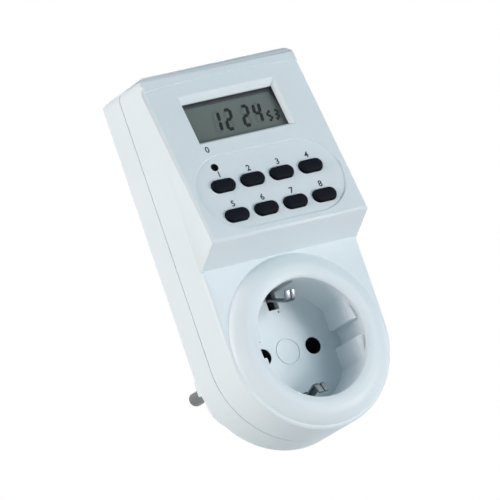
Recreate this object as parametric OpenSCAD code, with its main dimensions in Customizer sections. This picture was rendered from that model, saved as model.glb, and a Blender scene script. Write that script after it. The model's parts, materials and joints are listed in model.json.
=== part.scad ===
// Plug-in digital timer switch: a plug at the back, a socket in front, display and keys above.
// Origin: centre of the plug face, midway between the two pins.
// +X to the right seen from the front, +Y into the wall, +Z up.

/* [Body] */
// Width of the body and diameter of its round lower end
body_w = 59.4; // [56:0.2:66]
// Height of the top above the centre line of socket and plug
top_h = 94.6; // [92:0.2:104]
// Depth of the rear cover from its back face to the parting line
rear_depth = 13.3; // [13:0.1:18]
// Depth from the parting line to the flat face round the socket
front_depth = 13.9; // [13:0.1:18]
// Wall of both covers
wall = 2.2; // [1.8:0.1:2.6]
// Radius of the front edges
edge_r = 1.1; // [1:0.1:2]
// Radius of the rear edges
rear_r = 3; // [2:0.1:4]
// How far the top of the rear cover falls toward the back
top_fall = 1.8; // [0:0.1:2.4]
// Radius of the two upper corners seen from the front
corner_r = 4.5; // [3:0.1:6]

/* [Sloping face] */
// How far the lower edge of the sloping face stands in front of the flat face
step_out = 12.2; // [10:0.1:14]
// Height of the foot of the step above the socket centre
step_z = 28.8; // [28:0.1:32]
// Rise of the step from its foot to the edge of the sloping face
step_rise = 6.1; // [4:0.1:8]
// Radius of the edge between the step and the sloping face
step_r = 1.6; // [1:0.1:2.2]
// Lean of the sloping face, in degrees from upright
tilt = 11.9; // [8:0.1:14]
// Length of the sloping face, up to the lip across the top
face_len = 55.2; // [54:0.1:58]
// How far the lip stands proud of the sloping face
lip_h = 0.5; // [0.2:0.1:0.8]
// Rise of the arched lip at its middle
lip_rise = 1.2; // [0.6:0.1:2]
// Radius of the top front edge
top_r = 4; // [2:0.1:5]

/* [Display] */
// Width of the display opening at the face
view_w = 36.4; // [32:0.2:38]
// Height of the display opening at the face
view_h = 17.4; // [15:0.2:18]
// Face left between the display opening and the lip
view_gap = 4; // [3:0.1:6]
// Bevel at the sides and foot of the opening
bevel_side = 1; // [0.6:0.1:1.4]
// Bevel at the top of the opening
bevel_top = 2.2; // [1.6:0.1:2.4]
// Depth of the bevel
bevel_depth = 1.6; // [1:0.1:1.7]
// How far the clear window laps behind the face on every side
window_lap = 1.6; // [1:0.1:2]
// Thickness of the clear window
window_t = 1; // [0.8:0.1:1.2]
// Thickness of the display glass
glass_t = 2.2; // [1.8:0.1:2.4]
// Thickness of the reflector sheet behind the display glass
reflector_t = 0.3; // [0.2:0.1:0.4]
// Width of each elastomer strip
strip_w = 1.8; // [1.4:0.1:2.2]
// Wall of the display holder
holder_wall = 1.4; // [1:0.1:1.6]

/* [Keys] */
// Length of a button's head
key_l = 8.6; // [7:0.1:9]
// Width of a button's head
key_w = 4.4; // [3.6:0.1:5]
// Spacing of the buttons along a row
key_pitch = 11.1; // [10.6:0.1:11.6]
// Spacing of the two rows
key_rows = 10.8; // [10:0.1:11.4]
// Height of the lower row above the edge of the step
key_s = 7.5; // [7:0.1:8.5]
// How far a button stands above the sloping face
key_proud = 0.7; // [0.4:0.1:1.2]
// Gap round a button in its hole
key_gap = 0.2; // [0.15:0.05:0.3]
// Width of the flange that keeps a button behind the face
key_flange = 1; // [0.6:0.1:1.2]
// Travel of a button
key_travel = 0.6; // [0.4:0.05:0.7]
// Half the height of the shallow key panel, which is the radius of its ends
panel_r = 13.25; // [12.5:0.05:14]
// Distance between the centres of the panel's round ends
panel_l = 28; // [26:0.5:29]
// Depth of the key panel
panel_depth = 0.5; // [0.3:0.05:0.7]
// Diameter of the reset hole
reset_d = 2.4; // [2:0.1:2.6]
// Height of the reset hole above the upper row of buttons
reset_up = 6.8; // [6.4:0.1:7.4]
// How far the reset button lies below the key panel
reset_deep = 0.8; // [0.4:0.1:1.2]
// Thickness of the keypad mat
mat_t = 0.8; // [0.6:0.1:1]

/* [Socket] */
// Diameter of the socket recess
recess_d = 39.2; // [39:0.1:39.8]
// Depth of the recess from the crest of its ring
recess_depth = 17; // [17:0.1:18]
// Height of the ring's crest above the flat face
ring_h = 3.2; // [3:0.1:4]
// Radius of the ring's crest about the socket centre
ring_r = 22.6; // [22:0.1:23]
// Radius of the ring's rounding
ring_round = 7; // [6.5:0.1:8]
// Radius of the recess mouth
lip_r = 0.8; // [0.4:0.1:1]
// Wall of the socket cup
cup_wall = 1.8; // [1.4:0.1:2]
// Thickness of the socket floor
floor_t = 2.5; // [2:0.1:3]
// Spacing of the two pins and of the two pin holes
pin_pitch = 19; // [18.9:0.05:19.1]
// Diameter of the pin holes in the socket
hole_d = 5.5; // [5.2:0.1:5.8]
// Chamfer at the mouth of the pin holes
hole_edge = 0.15; // [0.05:0.05:0.4]
// Distance from the centre to the flat of each guide block
guide_x = 16.9; // [16.8:0.1:17.4]
// Width of the groove between a pair of guide blocks
guide_gap = 5.5; // [5.2:0.1:6]
// How far the guide blocks stay behind the crest of the ring
guide_front = 2; // [1.6:0.1:3]
// Chamfer at the front of the guide blocks
guide_chamfer = 1; // [0.6:0.1:1.6]
// Radius of the round mark between the pin holes
mark_r = 4; // [3:0.1:5]
// Height of the round mark
mark_h = 0.25; // [0.2:0.05:0.4]

/* [Plug] */
// Diameter of the plug boss
plug_d = 38.6; // [38:0.1:38.8]
// Height of the plug boss from the back of the body to its face
boss_h = 17.3; // [16.8:0.1:18]
// Distance from the centre to the flats of the boss
plug_flat = 16.7; // [16.4:0.1:16.8]
// Width of the rib on each flat of the boss
plug_rib = 5; // [4.6:0.1:5.1]
// Chamfer at the end of the boss
plug_chamfer = 1.2; // [0.6:0.1:1.6]
// Thickness of the plug face
plug_floor = 3; // [2.6:0.1:3.4]
// Diameter of the pins
pin_d = 4.8; // [4.6:0.05:5]
// Length of the pins from the plug face
pin_l = 19; // [18.5:0.1:19.5]
// Diameter of a pin's root, which the plug face holds
root_d = 6; // [5.6:0.1:6.4]
// Diameter of a pin's flange
flange_d = 7; // [6.8:0.1:7.4]
// Thickness of a pin's flange
flange_t = 1.4; // [1:0.1:1.8]
// Diameter of a pin's riveted stud
stud_d = 3.6; // [3:0.1:4]

/* [Conductors] */
// Thickness of the brass bars
bar_t = 1; // [0.8:0.1:1.2]
// Width of the brass bars
bar_w = 5; // [4:0.1:5.6]
// Thickness of the leaves of a socket contact
leaf_t = 0.7; // [0.5:0.05:0.8]
// Height of a socket contact
leaf_w = 5; // [4:0.1:5.4]
// Gap between the leaves where they grip a pin
leaf_gap = 4.4; // [4.2:0.1:4.6]
// Width of the earth clips in the recess
clip_w = 3.5; // [3:0.1:4.2]
// Thickness of the earth parts
clip_t = 0.7; // [0.5:0.05:0.8]
// Distance from the centre to the bend of an earth clip
clip_z = 13.8; // [13.4:0.1:14.4]
// How far a clip's root lies inside the wall of the recess
clip_root = 2.4; // [2.2:0.1:2.6]
// Distance from the socket centre to the edge of a clip's slot
slot_z = 14.1; // [13.8:0.1:14.6]
// How far the bend of a clip lies behind the crest of the ring
clip_in = 6.7; // [6.4:0.1:8]
// Distance from the centre to the outer face of the plug's earth contacts
earth_z = 17.7; // [17.2:0.1:18]
// Width of the plug's earth contacts
earth_w = 6; // [5:0.1:6.4]
// Clearance round parts that are pressed or slid into place
fit_gap = 0.05; // [0.03:0.01:0.08]
// Clearance round parts that lie loose in a slot
slot_gap = 0.25; // [0.2:0.05:0.4]

/* [Boards] */
// Thickness of the circuit boards
board_t = 1.6; // [1.2:0.1:1.6]
// Clearance round a board's edge
board_gap = 2; // [1.5:0.1:3]
// Distance from the inside of the rear cover to the power board
standoff = 3.1; // [2.6:0.1:3.4]
// Height of the lower edge of the power board above the socket centre
power_z = 25.5; // [25:0.1:27]
// Distance from the inside of the face to the control board
control_gap = 5.8; // [5.8:0.1:6.2]
// Height of the control board's lower edge above the edge of the step
control_s = 2.5; // [2:0.1:3]

/* [Screws] */
// Diameter of the housing screws
screw_d = 2.9; // [2.6:0.1:3]
// Length of the housing screws under the head
screw_l = 12; // [10:0.5:13]
// Diameter of the housing screws' heads
head_d = 5; // [4.6:0.1:5.2]
// Height of the screw heads
head_h = 1.8; // [1.4:0.1:2]
// Plastic under each housing screw's head, in front of which the covers meet
seat_t = 4.6; // [4:0.1:5]
// Wall of the screw posts
post_wall = 0.75; // [0.7:0.05:1]
// Diameter of the board screws
small_d = 2.2; // [2:0.1:2.4]
// How far the board screws reach into their posts
small_grip = 3.4; // [3:0.1:3.6]
// Diameter of the posts that carry a board
small_post_d = 5; // [4.6:0.1:5.4]

/* [Components] */
// Length of the relay
relay_l = 29; // [26:0.5:30]
// Width of the relay
relay_w = 12.6; // [12:0.1:13]
// Height of the relay above the board
relay_h = 15.7; // [15:0.1:16.2]
// Thickness of the relay's base
relay_base_t = 2; // [1.6:0.1:2.4]
// Wall of the relay's cover
relay_wall = 0.8; // [0.6:0.1:1]
// Diameter of the relay's coil
coil_d = 9; // [8:0.1:9.4]
// Length of the relay's coil
coil_l = 15; // [13:0.1:16]
// Rocking angle of the relay's armature
armature_swing = 4; // [2:0.5:4]
// Length of the film capacitor
film_l = 18; // [15:0.5:19]
// Width of the film capacitor
film_w = 7; // [6:0.1:8]
// Height of the film capacitor
film_h = 11; // [10:0.1:11.5]
// Diameter of the electrolytic capacitors
can_d = 8; // [6.3:0.1:8.2]
// Height of the electrolytic capacitors
can_h = 12; // [11:0.1:12.5]
// Diameter of the varistor
varistor_d = 9; // [7:0.1:9.5]
// Thickness of the varistor
varistor_t = 3.6; // [3:0.1:4]
// Diameter of the diodes
diode_d = 2.7; // [2.4:0.1:2.8]
// Length of the diodes
diode_l = 5.2; // [4.6:0.1:5.4]
// Diameter of the resistors
resistor_d = 2.4; // [2:0.1:2.6]
// Length of the resistors
resistor_l = 6.5; // [6:0.1:7]
// Diameter of the leads
lead_d = 0.7; // [0.6:0.05:0.8]
// Diameter of the fuse
fuse_d = 4; // [3.6:0.1:4.4]
// Length of the fuse
fuse_l = 9; // [8:0.1:10]
// Diameter of the back-up cell
cell_d = 11.6; // [11:0.1:12]
// Thickness of the back-up cell
cell_t = 4.6; // [4:0.1:4.8]
// Thickness of the cell's solder tabs
tab_t = 0.3; // [0.2:0.05:0.4]
// Width of the cell's solder tabs
tab_w = 3; // [2.5:0.1:3.5]
// How far a solder tab stands out past the cell
tab_reach = 2; // [1.5:0.1:2.5]
// Diameter of the resin cap over the chip
chip_d = 14; // [12:0.5:15]
// Height of the resin cap
chip_h = 1.6; // [1.2:0.1:2]
// Diameter of the clock crystal's can
crystal_d = 3; // [2:0.1:3.2]
// Length of the clock crystal's can
crystal_l = 8; // [6:0.1:8.4]
// Length of the ribbon cable's headers
header_l = 22; // [18:0.5:24]
// Height and depth of the headers
header_h = 2.6; // [2.2:0.1:3]
// Thickness of the ribbon cable
ribbon_t = 0.8; // [0.6:0.1:1]

/* [Hidden] */
$fn = 64;
eps = 0.01;
shell = [0.83, 0.87, 0.9];
rubber = [0.08, 0.08, 0.09];
brass = [0.8, 0.66, 0.36];
steel = [0.7, 0.71, 0.72];
board_green = [0.16, 0.4, 0.25];

// Lengths that reach right through the body
tall = 1.4 * top_h;
deep = 1.5 * body_w;

// Planes across the body, all measured along Y
half_w = body_w / 2;
rear_y = -boss_h;
part_y = rear_y - rear_depth;
flat_y = part_y - front_depth;
edge_y = flat_y - step_out;
edge_z = step_z + step_rise;
crest_y = flat_y - ring_h;
floor_y = crest_y + recess_depth;
floor_back = floor_y + floor_t;
recess_r = recess_d / 2;
cup_r = recess_r + cup_wall;
core_r = guide_x - 1;
slot_front = crest_y + 4;
rear_in = rear_y - wall;
plug_in = -plug_floor;

// Power board
power_back = rear_in - standoff;
power_front = power_back - board_t;

// Screws, their holes and the posts of the housing
head_gap = 0.15;
shank_gap = 0.2;
board_screw_gap = 0.15;
small_head_d = small_d + 1.8;
small_head_h = 1.2;
post_r = head_d / 2 + head_gap + post_wall;
low_post = (cup_r + post_r + fit_gap + 0.05) / sqrt(2);
high_post_x = half_w - wall - post_r + 0.3;
high_post_z = top_h - wall - post_r + 0.3 - top_fall / 2;
post_at = [[-low_post, -low_post], [low_post, -low_post],
           [-high_post_x, high_post_z], [high_post_x, high_post_z]];
front_post_r = screw_d / 2 + 1.35;
power_top = high_post_z - post_r - board_gap + 0.5;
power_w = body_w - 2 * wall - 2 * board_gap;
power_screw_at = [for (x = [-1, 1], z = [power_z + 9, power_top - 4])
    [x * (power_w / 2 - 4.5), z]];

// Layers behind the sloping face, measured along its normal
face_back = -wall;
control_front = face_back - control_gap;
control_back = control_front - board_t;
window_back = face_back - window_t;
glass_back = window_back - glass_t;
reflector_back = glass_back - reflector_t;
panel_n = -panel_depth;
flange_n = face_back - fit_gap;
key_flange_t = 1;
flange_back = flange_n - key_flange_t;
mat_collar = 1;
mat_edge = 2.5;
key_foot = control_front + key_travel + 0.1;

// Places along the sloping face, measured up from the edge of the step
view_s = face_len - view_gap - view_h / 2;
key_at = [for (row = [1, 0], i = [0:3]) [(i - 1.5) * key_pitch, key_s + row * key_rows]];
panel_s = key_s + key_rows / 2 + 2.7;
reset_at = [-1.5 * key_pitch, key_s + key_rows + reset_up];
window_w = view_w + 2 * window_lap;
window_h = view_h + 2 * window_lap;
glass_w = window_w - 1;
glass_h = window_h - 1;
holder_gap = 0.2;
holder_w = window_w + 2 * holder_gap + 2 * holder_wall;
holder_h = window_h + 2 * holder_gap + 2 * holder_wall;
control_w = body_w - 2 * wall - board_gap * 2;
control_top = (high_post_z - front_post_r - board_gap / 2 - edge_z
    + control_front * sin(tilt)) / cos(tilt) + 2;
control_screw_x = half_w - wall - small_post_d / 2 - 0.8;
control_screw_s = [key_s + key_rows / 2, view_s - holder_h / 2 - small_post_d / 2 - 0.5];
control_screw_at = [for (x = [-1, 1], s = control_screw_s) [x * control_screw_x, s]];

// Places on the power board, as X and Z
row_gap = 5.2;
relay_at = [2, power_z + relay_w / 2 + row_gap];
film_at = [-power_w / 2 + film_l / 2 + 4.5, relay_at[1] + relay_w / 2 + film_w / 2 + row_gap];
can_z = relay_at[1] + relay_w / 2 + can_d / 2 + row_gap - 0.7;
can_at = [for (i = [0, 1]) [can_d + i * (can_d + 1), can_z]];
row_z = film_at[1] + film_w / 2 + diode_l / 2 + 6.9;
diode_at = [for (i = [0:3]) [-2 + i * (diode_d + 2.3), row_z]];
resistor_at = [for (i = [-1:1]) [i * (resistor_l + 4.5), row_z + row_gap + 2.3]];
varistor_at = [-power_w / 2 + varistor_t / 2 + 4.7, row_z - 1.5];
fuse_at = [-fuse_l / 2 - 5.5, row_z];
header_z = edge_z + (control_top - 3) * cos(tilt) + control_back * sin(tilt);
header_s = control_top - 3;
cell_at = [-control_w / 2 + cell_d / 2 + 5.7, 24];
chip_at = [2, 36];
crystal_at = [control_w / 2 - crystal_l / 2 - 7.5, 30];

// Conductors
bar_top = power_z + 6;
bar_front = power_back + bar_t;
bar_rise = bar_w / 2 + 6;
stud_back = plug_in - flange_t - bar_t;
leaf_front = floor_back + 0.2;
leaf_back = leaf_front + pin_l - 2;
grip_y = leaf_front + 3.4;
out_x = -20;
strap_y = floor_back + 3.2;
rivet_r = 1;
rivet_head_r = 1.8;
rivet_head_t = 0.7;
pin_head = 0.8;
tab_gap = 0.5;

// Rotates a flat shape drawn in X and Z and gives it a depth along Y
module along_y(y0, y1) {
    translate([0, y1, 0]) rotate([90, 0, 0]) linear_extrude(y1 - y0) children();
}

// Rotates a flat shape drawn in Y and Z and gives it a width along X
module along_x(x0, x1) {
    translate([x0, 0, 0]) rotate([90, 0, 90]) linear_extrude(x1 - x0) children();
}

// Turns a profile drawn as radius and Y about the Y axis
module turned() {
    rotate([-90, 0, 0]) rotate_extrude() children();
}

// A round bar along Y, centred on x and z
module rod_y(x, z, r, y0, y1) {
    translate([x, y1, z]) rotate([90, 0, 0]) cylinder(r = r, h = y1 - y0);
}

// Places children on the sloping face: X across, Y up the slope, Z outward
module on_face(x = 0, s = 0, n = 0) {
    translate([0, edge_y, edge_z]) rotate([90 - tilt, 0, 0]) translate([x, s, n]) children();
}

module stadium(l, w) {
    square([l - w, w], center = true);
    for (x = [-1, 1]) translate([x * (l - w) / 2, 0]) circle(d = w);
}

// A flat slab drawn as half width and depth, its two corners at front rounded by e
module half_slab(h, front, back, e) {
    s = sign(back - front);
    translate([0, min(front, back)]) square([h - e, abs(back - front)]);
    translate([0, min(front + s * e, back)]) square([h, abs(back - front) - e]);
    translate([h - e, front + s * e]) circle(e);
}

module full_slab(h, front, back, e) {
    half_slab(h, front, back, e);
    mirror([1, 0]) half_slab(h, front, back, e);
}

// The body seen from the front: a half circle below, two round corners above
module outline(inset = 0) {
    h = half_w - inset;
    r = corner_r - inset;
    circle(h);
    translate([-h, 0]) square([2 * h, top_h - inset - r]);
    translate([-h + r, 0]) square([2 * (h - r), top_h - inset]);
    for (x = [-1, 1]) translate([x * (h - r), top_h - inset - r]) circle(r);
}

// Moves every side of a closed outline inward by d
function unit(v) = v / norm(v);
function left_of(v) = [-v[1], v[0]];
function mitred(p, a, b, d) = let (m = unit(a + b)) p + m * d / (m * a);
function inset_outline(p, d) = let (n = len(p)) [for (i = [0:n - 1])
    mitred(p[i], left_of(unit(p[i] - p[(i + n - 1) % n])), left_of(unit(p[(i + 1) % n] - p[i])), d)];

// A strip of thickness t that follows a bent line
function strip_side(p, d) = let (n = len(p) - 1) [for (i = [0:n])
    mitred(p[i], left_of(unit(p[max(i, 1)] - p[max(i, 1) - 1])),
        left_of(unit(p[min(i + 1, n)] - p[min(i + 1, n) - 1])), d)];
// A line drawn for Z above zero, continued below zero as its mirror image
function both_ends(p) = concat([for (i = [len(p) - 1:-1:0]) [p[i][0], -p[i][1]]], p);
module bent_strip(p, t) {
    back = strip_side(p, -t / 2);
    polygon(concat(strip_side(p, t / 2), [for (i = [len(p) - 1:-1:0]) back[i]]));
}

// Side view of the upper part, with its front line lifted by lift above the sloping face
step_slope = step_rise / step_out;
step_foot = [flat_y + 6, step_z - 6 * step_slope];
function face_point(s, n) =
    [edge_y + s * sin(tilt) - n * cos(tilt), edge_z + s * cos(tilt) + n * sin(tilt)];
function top_front(n) = let (s = (top_h - edge_z - n * sin(tilt)) / cos(tilt)) face_point(s, n);
function side_outline(back, n) = [[back, step_foot[1]], [back, top_h], top_front(n),
    face_point(n * tan(atan(step_slope) - tilt), n), step_foot];

// What a rounding of radius r takes off the corner k, whose two sides run along a and b
module corner_waste(k, a, b, r) {
    half = acos(a * b) / 2;
    reach = r / tan(half);
    c = k + unit(a + b) * r / sin(half);
    difference() {
        polygon([k + reach * a, k - unit(a + b), k + reach * b, c]);
        translate(c) circle(r);
    }
}

module side_view() {
    up = [sin(tilt), cos(tilt)];
    difference() {
        polygon(side_outline(part_y, lip_h));
        corner_waste(top_front(lip_h), -up, [1, 0], top_r);
        corner_waste(face_point(0, 0), up, unit([step_out, -step_rise]), step_r);
    }
}

// Outer shape of the front cover without its openings
module front_outer() {
    turned() half_slab(half_w, flat_y, part_y, edge_r);
    linear_extrude(step_z) full_slab(half_w, flat_y, part_y, edge_r);
    intersection() {
        along_x(-half_w, half_w) side_view();
        along_y(edge_y - 10, part_y) outline();
        union() {
            on_face(s = -half_w) rotate([90, 0, 0]) mirror([0, 0, 1]) linear_extrude(tall)
                full_slab(half_w, 0, -deep, edge_r);
            intersection() {
                on_face(s = -half_w) rotate([90, 0, 0]) mirror([0, 0, 1]) linear_extrude(tall)
                    full_slab(half_w, lip_h, -deep, edge_r);
                on_face(n = -deep) linear_extrude(2 * deep) lip_region();
            }
        }
    }
}

// The part of the sloping plane above the arched lip
arch_r = (half_w * half_w + lip_rise * lip_rise) / (2 * lip_rise);
module lip_region() {
    difference() {
        translate([-half_w - 1, face_len - 1]) square([body_w + 2, 60]);
        translate([0, face_len + lip_rise - arch_r]) circle(arch_r, $fn = 720);
    }
}

// Inside of the front cover, open at the parting line
module front_inside() {
    h = half_w - wall;
    intersection() {
        turned() translate([0, flat_y + wall]) square([h, part_y - flat_y]);
        translate([-h, flat_y, -h]) cube([2 * h, 40, h + eps]);
    }
    translate([-h, flat_y + wall, 0]) cube([2 * h, part_y - flat_y, edge_z]);
    intersection() {
        along_x(-h, h) polygon(inset_outline(side_outline(part_y + wall + 1, 0), wall));
        along_y(edge_y, part_y + 2) outline(wall);
    }
}

module display_cut() {
    s0 = view_s - view_h / 2;
    s1 = view_s + view_h / 2;
    on_face() intersection() {
        along_x(-half_w, half_w) polygon([[s0 - bevel_side, bevel_depth], [s1 + bevel_top, bevel_depth],
            [s1, 0], [s1 - bevel_top, -bevel_depth], [s1 - bevel_top, -wall - 1],
            [s0 + bevel_side, -wall - 1], [s0 + bevel_side, -bevel_depth], [s0, 0]]);
        along_y(s0 - 5, s1 + 5) polygon([[-view_w / 2 - bevel_side, bevel_depth],
            [view_w / 2 + bevel_side, bevel_depth], [view_w / 2, 0],
            [view_w / 2 - bevel_side, -bevel_depth], [view_w / 2 - bevel_side, -wall - 1],
            [-view_w / 2 + bevel_side, -wall - 1], [-view_w / 2 + bevel_side, -bevel_depth],
            [-view_w / 2, 0]]);
    }
}

module key_cuts() {
    on_face(s = panel_s, n = panel_n) linear_extrude(3) stadium(panel_l + 2 * panel_r, 2 * panel_r);
    for (p = key_at) on_face(p[0], p[1], -wall - 1) linear_extrude(wall + 2)
        stadium(key_l + 2 * key_gap, key_w + 2 * key_gap);
    on_face(reset_at[0], reset_at[1], -wall - 1) cylinder(d = reset_d, h = wall + 2, $fn = 32);
}

// The raised ring round the socket, solid down to the inside of the cup
module ring_and_cup() {
    turned() {
        intersection() {
            translate([ring_r, crest_y + ring_round]) circle(ring_round, $fn = 128);
            translate([core_r, crest_y - 1]) square([ring_r + ring_round - core_r, ring_h + 1.5]);
        }
        translate([0, flat_y]) square([cup_r, floor_back - flat_y]);
    }
}

// The recess, its rounded mouth and the guide blocks that stay in it
module recess() {
    mouth_y = crest_y + ring_round - sqrt(pow(ring_round, 2) - pow(ring_r - recess_r - lip_r, 2));
    difference() {
        turned() {
            translate([0, crest_y - 1]) square([recess_r, recess_depth + 1]);
            difference() {
                translate([recess_r - eps, mouth_y - 2]) square([lip_r + eps, lip_r + 2]);
                translate([recess_r + lip_r, mouth_y + lip_r]) circle(lip_r, $fn = 32);
                translate([recess_r + lip_r, mouth_y - 3]) square([lip_r, 3]);
            }
        }
        for (x = [-1, 1], z = [-1, 1]) scale([x, 1, z]) guide_block();
        turned() translate([mark_r, floor_y - mark_h]) square([0.4, mark_h + 1]);
    }
}

module guide_block() {
    front = crest_y + guide_front;
    translate([0, 0, guide_gap / 2]) linear_extrude(recess_r) polygon([[guide_x, floor_y + 1],
        [guide_x, front + guide_chamfer], [guide_x + guide_chamfer, front],
        [recess_r + 1, front], [recess_r + 1, floor_y + 1]]);
}

module socket_cuts() {
    for (x = [-1, 1]) {
        rod_y(x * pin_pitch / 2, 0, hole_d / 2, floor_y - 1, floor_back + 1);
        translate([x * pin_pitch / 2, floor_y + hole_edge, 0]) rotate([90, 0, 0])
            cylinder(r1 = hole_d / 2, r2 = hole_d / 2 + 2 * hole_edge, h = 2 * hole_edge);
    }
    for (z = [-1, 1]) scale([1, 1, z]) {
        w = clip_w + 2 * slot_gap;
        translate([-w / 2, floor_y - 1, slot_z]) cube([w, floor_t + 2, cup_r + 1 - slot_z]);
        translate([-w / 2, slot_front, recess_r - 2]) cube([w, floor_y - slot_front, cup_wall + 2.2]);
    }
}

module front_cover() {
    color(shell) difference() {
        union() {
            difference() {
                front_outer();
                front_inside();
            }
            ring_and_cup();
            intersection() {
                front_outer();
                union() {
                    for (p = post_at) rod_y(p[0], p[1], front_post_r, edge_y, part_y);
                }
            }
            for (p = control_screw_at) on_face(p[0], p[1], control_front)
                cylinder(d = small_post_d, h = control_gap + 0.5, $fn = 32);
        }
        recess();
        socket_cuts();
        display_cut();
        key_cuts();
        for (p = post_at)
            rod_y(p[0], p[1], screw_d / 2 + fit_gap, part_y - screw_l + seat_t - 1, part_y + 1);
        for (p = control_screw_at) on_face(p[0], p[1], control_front - 1)
            cylinder(d = small_d + 2 * fit_gap, h = control_gap, $fn = 32);
    }
}

// Outer shape of the rear cover's shell
module rear_outer(inset = 0) {
    h = half_w - inset;
    e = rear_r - inset;
    back = rear_y - inset;
    top = top_h - inset;
    fall = top_fall * (back - part_y) / rear_depth;
    intersection() {
        turned() half_slab(h, back, part_y, e);
        translate([-h, part_y, -h]) cube([2 * h, rear_depth, h]);
    }
    intersection() {
        linear_extrude(top_h - inset) full_slab(h, back, part_y, e);
        along_y(part_y, back) outline(inset);
        along_x(-h, h) difference() {
            polygon([[part_y, -1], [part_y, top], [back, top - fall], [back, -1]]);
            corner_waste([back, top - fall], [0, -1], unit([part_y - back, fall]), e);
        }
    }
}

// The plug boss with its side flats and guide ribs
module plug_boss(r, flat, y0, y1) {
    intersection() {
        turned() {
            translate([0, y0]) square([r, y1 - y0 - plug_chamfer]);
            translate([0, y0]) square([r - plug_chamfer, y1 - y0]);
            polygon([[0, y1 - plug_chamfer], [r, y1 - plug_chamfer], [r - plug_chamfer, y1], [0, y1]]);
        }
        along_y(y0, y1) {
            square([2 * flat, 2 * r], center = true);
            square([2 * r, plug_rib], center = true);
        }
    }
}

module rear_cover() {
    r = plug_d / 2;
    rib_in = pin_pitch / 2 - leaf_gap / 2 - leaf_t - 1.15;
    color(shell) difference() {
        union() {
            difference() {
                union() {
                    rear_outer();
                    plug_boss(r, plug_flat, rear_y - wall, 0);
                }
                translate([0, -eps, 0]) rear_outer(wall);
                translate([0, -eps, 0]) along_y(part_y - 1, part_y + 1) outline(wall);
                along_y(rear_in - 1, plug_in) intersection() {
                    circle(r - wall);
                    square([2 * (plug_flat - wall), 2 * r], center = true);
                }
            }
            intersection() {
                rear_outer();
                union() {
                    for (p = post_at) rod_y(p[0], p[1], post_r, part_y, rear_y);
                }
            }
            for (p = power_screw_at) rod_y(p[0], p[1], small_post_d / 2, power_back, rear_y - 1);
            for (x = [-1, 1]) translate([x * (rib_in - 0.6) - 0.6, rear_in, -11])
                cube([1.2, plug_in - rear_in + eps, 22]);
            translate([-rib_in, strap_y + 2 * clip_t, -3]) cube([2 * rib_in, -strap_y - 2 * clip_t - 1, 6]);
        }
        for (x = [-1, 1]) rod_y(x * pin_pitch / 2, 0, root_d / 2 + fit_gap, plug_in - 1, 1);
        for (z = [-1, 1]) scale([1, 1, z]) {
            w = earth_w + 2 * slot_gap;
            low = earth_z - clip_t - slot_gap;
            translate([-w / 2, rear_in - 1, low]) cube([w, wall + 1 + eps, clip_t + 2 * slot_gap]);
            translate([-w / 2, rear_y, low]) cube([w, plug_in - rear_y, r - low + 1]);
            translate([-w / 2, plug_in - eps, earth_z]) cube([w, plug_floor + 1, r - earth_z + 1]);
        }
        for (p = post_at) {
            rod_y(p[0], p[1], screw_d / 2 + shank_gap, part_y - 1, rear_y + 1);
            rod_y(p[0], p[1], head_d / 2 + head_gap, part_y + seat_t, rear_y + 1);
        }
        for (p = power_screw_at) rod_y(p[0], p[1], small_d / 2 + fit_gap, power_back - 1, rear_y - 1.2);
        rod_y(0, 0, rivet_r + fit_gap, strap_y, strap_y + 2 * clip_t + 4);
    }
}

// A pan head screw along Y: head at the back, tip toward the front
module screw_y(d, head, high, l) {
    difference() {
        union() {
            rod_y(0, 0, d / 2, -l, 0);
            rod_y(0, 0, head / 2, 0, high);
        }
        for (a = [0, 90]) translate([0, high, 0]) rotate([0, a, 0])
            cube([head * 0.6, 2 * high * 0.5, 0.7], center = true);
    }
}

module housing_screws() {
    color(steel) for (p = post_at) translate([p[0], part_y + seat_t, p[1]])
        screw_y(screw_d, head_d, head_h, screw_l);
}

module display_window() {
    color("white", 0.5) on_face(s = view_s, n = window_back)
        linear_extrude(window_t) square([window_w, window_h], center = true);
}

module display_glass() {
    color([0.5, 0.55, 0.5]) on_face(s = view_s, n = glass_back)
        linear_extrude(glass_t) square([glass_w, glass_h], center = true);
}

module display_reflector() {
    color([0.75, 0.77, 0.72]) on_face(s = view_s, n = reflector_back)
        linear_extrude(reflector_t) square([glass_w, glass_h - 2 * strip_w - 1], center = true);
}

module display_holder() {
    color("white") on_face(s = view_s, n = control_front) linear_extrude(control_gap) difference() {
        square([holder_w, holder_h], center = true);
        square([window_w + 2 * holder_gap, window_h + 2 * holder_gap], center = true);
    }
}

module elastomer_strips() {
    color("dimgray") for (side = [-1, 1])
        on_face(s = view_s + side * (glass_h - strip_w) / 2, n = control_front)
            linear_extrude(glass_back - control_front) square([glass_w, strip_w], center = true);
}

module keypad_mat() {
    top = view_s - holder_h / 2 - 0.8;
    w = 3 * key_pitch + key_l + 2 * mat_edge;
    color(rubber) difference() {
        union() {
            on_face(s = (control_s + top) / 2, n = control_front)
                linear_extrude(mat_t) square([w, top - control_s], center = true);
            for (p = key_at) on_face(p[0], p[1], control_front)
                linear_extrude(mat_t + mat_collar) stadium(key_l + 0.6, key_w + 0.6);
        }
        for (p = control_screw_at) on_face(p[0], p[1], control_front - 1)
            cylinder(d = small_post_d + 0.8, h = mat_t + 3, $fn = 32);
        for (p = key_at) on_face(p[0], p[1], control_front - 1)
            linear_extrude(mat_t + 3) stadium(key_l - 1.1, key_w - 0.7);
        on_face(reset_at[0], reset_at[1], control_front - 1)
            cylinder(d = reset_d + 0.4, h = mat_t + 3, $fn = 32);
    }
}

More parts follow.
